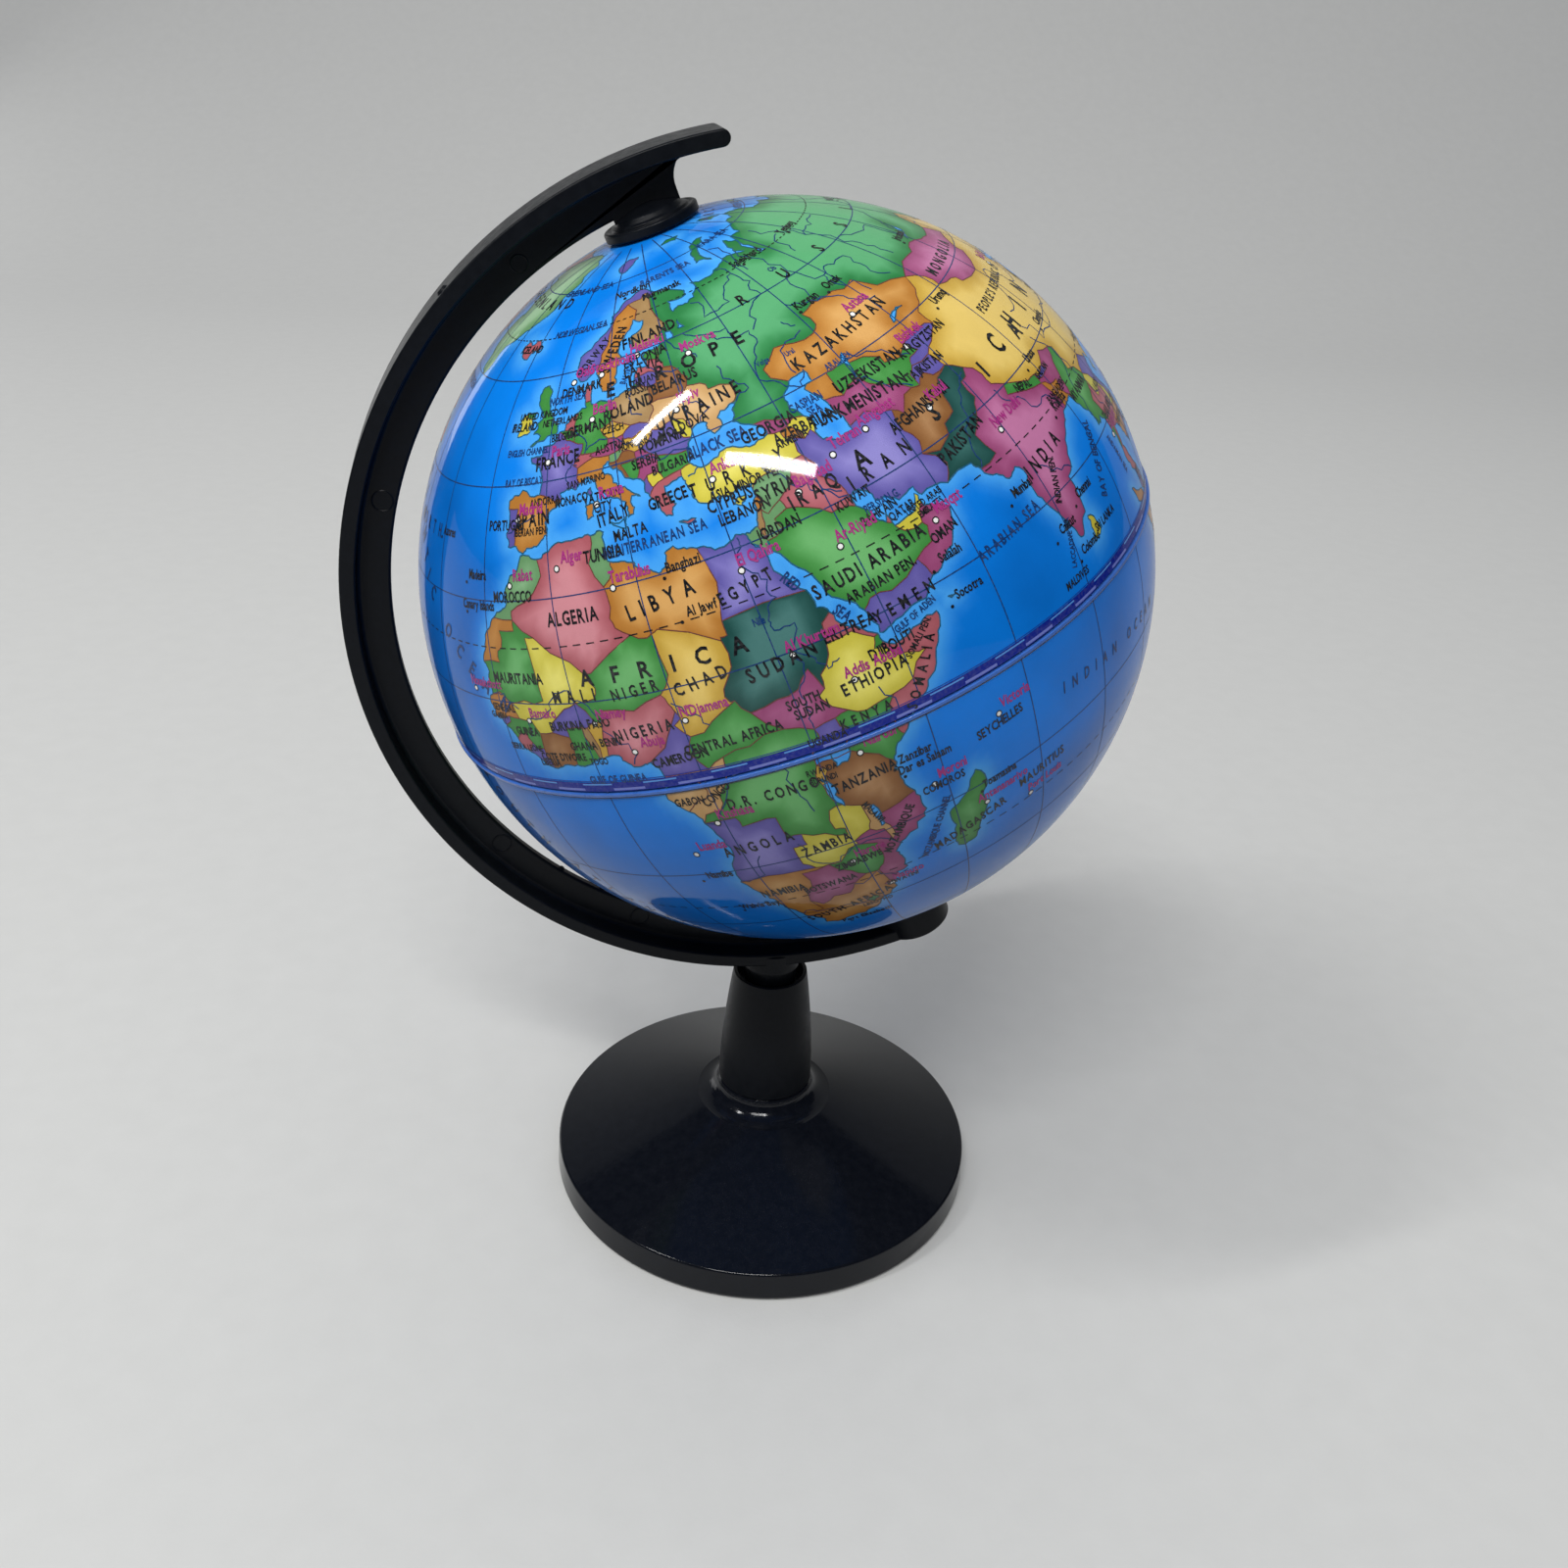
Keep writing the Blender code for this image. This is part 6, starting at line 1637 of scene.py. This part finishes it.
CAPITALS = """
Alger|4.6 35
Tarabulus|14 31.3
El Qahira|33 28.6
Al Khurtum|35 15.9
N'Djamena|18.6 11.4
Niamey|5.4 13
Abuja|10 8
Bamako|-6.4 13.6
Nouakchott|-17.6 17.8
Luanda|11.4 -9.6
Addis Abeba|41 9.6
Ar-Riyad|46.6 26.4
Tehran|52 36.8
Ashgabat|58.6 37.6
Masqat|60 23.4
New Delhi|77.4 27.6
Oslo|7.6 59.6
Moskva|37.6 58
Nairobi|38.4 -0.4
Kinshasa|17 -4.8
Harare|31.6 -17.2
Maputo|35.2 -25.4
Antananarivo|52.8 -17.4
Port Louis|60.4 -21.4
Victoria|57.6 -4.4
Moroni|46.2 -9.6
Rabat|-5.6 33.4
Madrid|-3.6 41.8
Paris|3 48.9
Berlin|13.4 53.4
Roma|13.4 42
Kyiv|31.4 50.8
Ankara|33.6 40.4
Baghdad|44.8 34.6
Kabul|69.6 35.4
Astana|72.2 51.2
Bishkek|74.6 43.4
Helsinki|25.4 60.8
Stockholm|15.6 59.6
Beijing|116.4 40.8
Tokyo|141.6 36
Seoul|127 38.4
Manila|119 14.8
Jakarta|106.6 -5.4
Bangkok|100.6 14.4
Canberra|147.6 -35.4
Wellington|177 -40.8
Ottawa|-76 46
Washington|-78.4 38.6
La Habana|-83.6 23.6
Bogota|-73.4 5.2
Caracas|-67 9.8
Brasilia|-48 -15.4
Lima|-79 -12
La Paz|-67.4 -15.4
Santiago|-73.4 -32.4
Buenos Aires|-60.4 -33.6
"""
TOWNS = """
Banghazi|22.4 30.6
Al Jawf|23 24.6
Mumbai|71.4 19
Salalah|56.4 17.6
Calicut|75.4 11
Chennai|81.8 13
Kolkata|88.6 23.2
Colombo|78.4 6.6
Nordkinn|22.4 71.8
Murmansk|34 69.4
Salekhard|66 67.4
Kurgan|64.4 55.4
Omsk|73.4 55.6
Yenisey|90 67.4
Yakutsk|130 62.6
Irkutsk|104 53.2
Vladivostok|134 44
Urumqi|87.4 44.2
Lhasa|91 30
Chengdu|104 31
Shanghai|120 31.8
Hong Kong|114.6 23.4
Walvis Bay|11.4 -23.6
Namibe|9.6 -15.2
Port Elizabeth|25.4 -35
Dar es Salaam|43 -6.6
Zanzibar|42 -5
Toamasina|52.6 -15.2
Socotra|56.6 12.4
Perth|118 -31
Sydney|148.4 -33
Darwin|131 -13.6
Vancouver|-121 50
San Francisco|-119 37.6
Los Angeles|-116 34.4
Chicago|-87.6 42.6
Houston|-96 30.4
New York|-72.6 41.6
Miami|-82.6 27
Manaus|-60 -2
Recife|-38.4 -8.4
Rio de Janeiro|-44.6 -21.6
Ushuaia|-66 -53.6
Azores|-28 38.4
Madeira|-17 33.4
Canary Islands|-17 29.4
"""
REGIONS = """
SOMALI PEN.|47.6 9.8 40 0.9
IBERIAN PEN.|-3.6 38.8 0 0.9
R|53 60.8 0 1.8
U|67.5 61 0 1.8
S|83 61 0 1.8
S|100 61 0 1.8
I|116 61 0 1.8
A|132 61 0 1.8
"""


def print_names(black, magenta, blue, white):
    """All the lettering and the town marks."""
    print_words("names_of_lands", spread(COUNTRIES, 1.1, 0.05, 0.68), 0.048, black)
    print_words("names_of_continents", spread(CONTINENTS, 2.0, narrow=0.85), 0.044, black)
    print_words("names_of_regions", spread(REGIONS, 0.9, 0.06), 0.044, black)
    print_words("names_of_seas", spread(OCEANS, 1.0, 0.05, 0.64), 0.044, blue)
    print_words("names_of_capitals", spread(CAPITALS, 1.45, 0.03, 0.68), 0.052, magenta)
    print_words("names_of_towns", spread(TOWNS, 1.25, 0.03, 0.68), 0.052, black)
    capital_spots = [(label[1] - 3.0, label[2] - 1.4) for label in spread(CAPITALS, 1.0)]
    town_spots = [(label[1] - 3.2, label[2] - 1.2) for label in spread(TOWNS, 0.95)]
    print_towns("capital_rings", capital_spots, 0.46, 0.30, 0.050, black)
    print_towns("capital_dots", capital_spots, 0.31, 0.0, 0.047, white)
    print_towns("town_dots", town_spots, 0.22, 0.0, 0.050, black)


# ---------------------------------------------------------------- the studio
def make_floor(material):
    """A pale sweep: flat under the globe, then a wide curve up behind it."""
    across = np.linspace(-1.6, 1.6, 9)
    bend = np.linspace(0.1, math.pi / 2.0, 14)
    run = np.concatenate([np.linspace(-1.2, 0.75, 14), 0.75 + 0.55 * np.sin(bend), [1.3]])
    rise = np.concatenate([np.zeros(14), 0.55 * (1.0 - np.cos(bend)), [1.9]])
    turn = -VIEW_HEADING
    x = across[None, :] * math.cos(turn) - run[:, None] * math.sin(turn)
    y = across[None, :] * math.sin(turn) + run[:, None] * math.cos(turn)
    z = np.broadcast_to(rise[:, None], x.shape)
    mesh = bpy.data.meshes.new("sweep")
    faces = grid_faces(len(run), len(across))
    mesh.from_pydata(np.stack([x, y, z], -1).reshape(-1, 3), [], faces.tolist())
    mesh.materials.append(material)
    mesh.shade_smooth()
    sweep = bpy.data.objects.new("sweep", mesh)
    bpy.context.scene.collection.objects.link(sweep)
    sweep.visible_diffuse = False


def make_light(name, place, aim, power, size, size_y, glossy=True):
    """A soft rectangular lamp aimed at a point; only some show in polished surfaces."""
    lamp = bpy.data.lights.new(name, "AREA")
    lamp.energy = power
    lamp.shape = "RECTANGLE"
    lamp.size, lamp.size_y = size, size_y
    item = bpy.data.objects.new(name, lamp)
    item.visible_glossy = glossy
    back = unit(np.array(place, float) - np.array(aim, float))
    right = unit(np.cross([0.0, 0.0, 1.0], back))
    up = np.cross(back, right)
    rows = np.eye(4)
    rows[:3, :3] = np.stack([right, up, back], 1)
    rows[:3, 3] = place
    item.matrix_world = Matrix(rows.tolist())
    bpy.context.scene.collection.objects.link(item)
    return item


def make_camera():
    """A short lens from the front left, a little above, rolled slightly."""
    lens = bpy.data.cameras.new("camera")
    lens.lens, lens.sensor_width = 34.33, 36.0
    lens.clip_start = 0.01
    item = bpy.data.objects.new("camera", lens)
    heading, dip, roll = VIEW_HEADING, math.radians(27.67), math.radians(3.22)
    forward = np.array([math.sin(heading) * math.cos(dip), math.cos(heading) * math.cos(dip), -math.sin(dip)])
    level = np.array([math.cos(heading), -math.sin(heading), 0.0])
    above = np.cross(level, forward)
    right = math.cos(roll) * level + math.sin(roll) * above
    up = -math.sin(roll) * level + math.cos(roll) * above
    rows = np.eye(4)
    rows[:3, :3] = np.stack([right, up, -forward], 1)
    rows[:3, 3] = np.array([-43.4, -205.8, 185.1]) * MM
    item.matrix_world = Matrix(rows.tolist())
    bpy.context.scene.collection.objects.link(item)
    bpy.context.scene.camera = item


def make_sky():
    """Soft light from all round, brighter overhead, that polished surfaces don't show."""
    world = bpy.data.worlds.new("studio")
    world.use_nodes = True
    tree = world.node_tree
    where = tree.nodes.new("ShaderNodeTexCoord")
    parts = tree.nodes.new("ShaderNodeSeparateXYZ")
    strength = tree.nodes.new("ShaderNodeMapRange")
    tree.links.new(where.outputs["Generated"], parts.inputs[0])
    tree.links.new(parts.outputs["Z"], strength.inputs["Value"])
    for name, value in (("From Min", -0.6), ("From Max", 0.7), ("To Min", 0.22), ("To Max", 0.42)):
        strength.inputs[name].default_value = value
    background = tree.nodes["Background"]
    background.inputs["Color"].default_value = (0.93, 0.95, 1.0, 1.0)
    tree.links.new(strength.outputs["Result"], background.inputs["Strength"])
    bpy.context.scene.world = world
    world.cycles_visibility.glossy = False


def set_material(node, material):
    """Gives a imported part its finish."""
    item = frame["nodes"][node]
    item.data.materials.clear()
    item.data.materials.append(material)


bpy.context.scene.view_settings.view_transform = "Standard"
make_camera()
make_floor(studio_floor())
AIM = (0.0, 0.0, 0.12)
make_light("top_box", (-0.58, -0.30, 0.98), AIM, 1.8, 0.5, 0.5, glossy=False)
make_light("back_box", (0.1, 0.7, 0.7), AIM, 0.8, 0.9, 0.4, glossy=False)
make_light("wall_wash", (0.0, 0.30, 1.0), (0.3, 1.3, 0.45), 3.2, 1.4, 0.3, glossy=False)
make_light("front_strip", (-0.20, -0.52, 0.80), (-0.012, -0.042, 0.139), 3.9, 0.38, 0.058)
make_light("side_strip", (-0.55, -0.14, 0.82), (-0.023, -0.036, 0.141), 2.0, 0.03, 0.29)
make_light("left_card", (-0.70, 1.00, 0.12), AIM, 1.0, 0.5, 0.5)
make_sky()

BLACK_SATIN = moulded("black_satin_plastic", (0.004, 0.005, 0.007), 0.34, 0.5, ior=1.24)
BLACK_GLOSS = moulded("black_gloss_plastic", (0.004, 0.005, 0.008), 0.12, 0.12, ior=1.34)
WHITE_NYLON = moulded("white_nylon", (0.75, 0.74, 0.70), 0.45, 0.4)
PALE_RING = moulded("pale_joining_plastic", srgb("3564B4"), 0.3, 0.3, coat=0.4)
make_arm(BLACK_SATIN)
make_base(BLACK_GLOSS)
make_stem(BLACK_SATIN)
make_ring(PALE_RING)
coasts, borders = make_map(printed_map())
NAVY = ink("navy_ink", srgb("173A6E"))
BLACK_INK = ink("black_ink", srgb("16181C"))
print_net(NAVY, BLACK_INK, ink("coast_ink", srgb("1B5A78")), ink("border_ink", srgb("6A3A34")),
          coasts, borders)
print_seam(ink("seam_ink", srgb("06208C")), ink("seam_pale_ink", srgb("5A9AE2")),
           ink("seam_lilac_ink", srgb("7480CC")), ink("seam_line_ink", srgb("102C9C")))
print_names(BLACK_INK, ink("magenta_ink", srgb("A6307E")), ink("blue_ink", srgb("12386F")),
            ink("white_ink", srgb("F1F1EC")))
for node in ("north_pole_bush", "south_pole_bush"):
    set_material(node, WHITE_NYLON)
set_material("base_cover", BLACK_SATIN)
set_material("felt_disc", felt())
for node in ("stem_screw", "screw_washer"):
    set_material(node, plated())
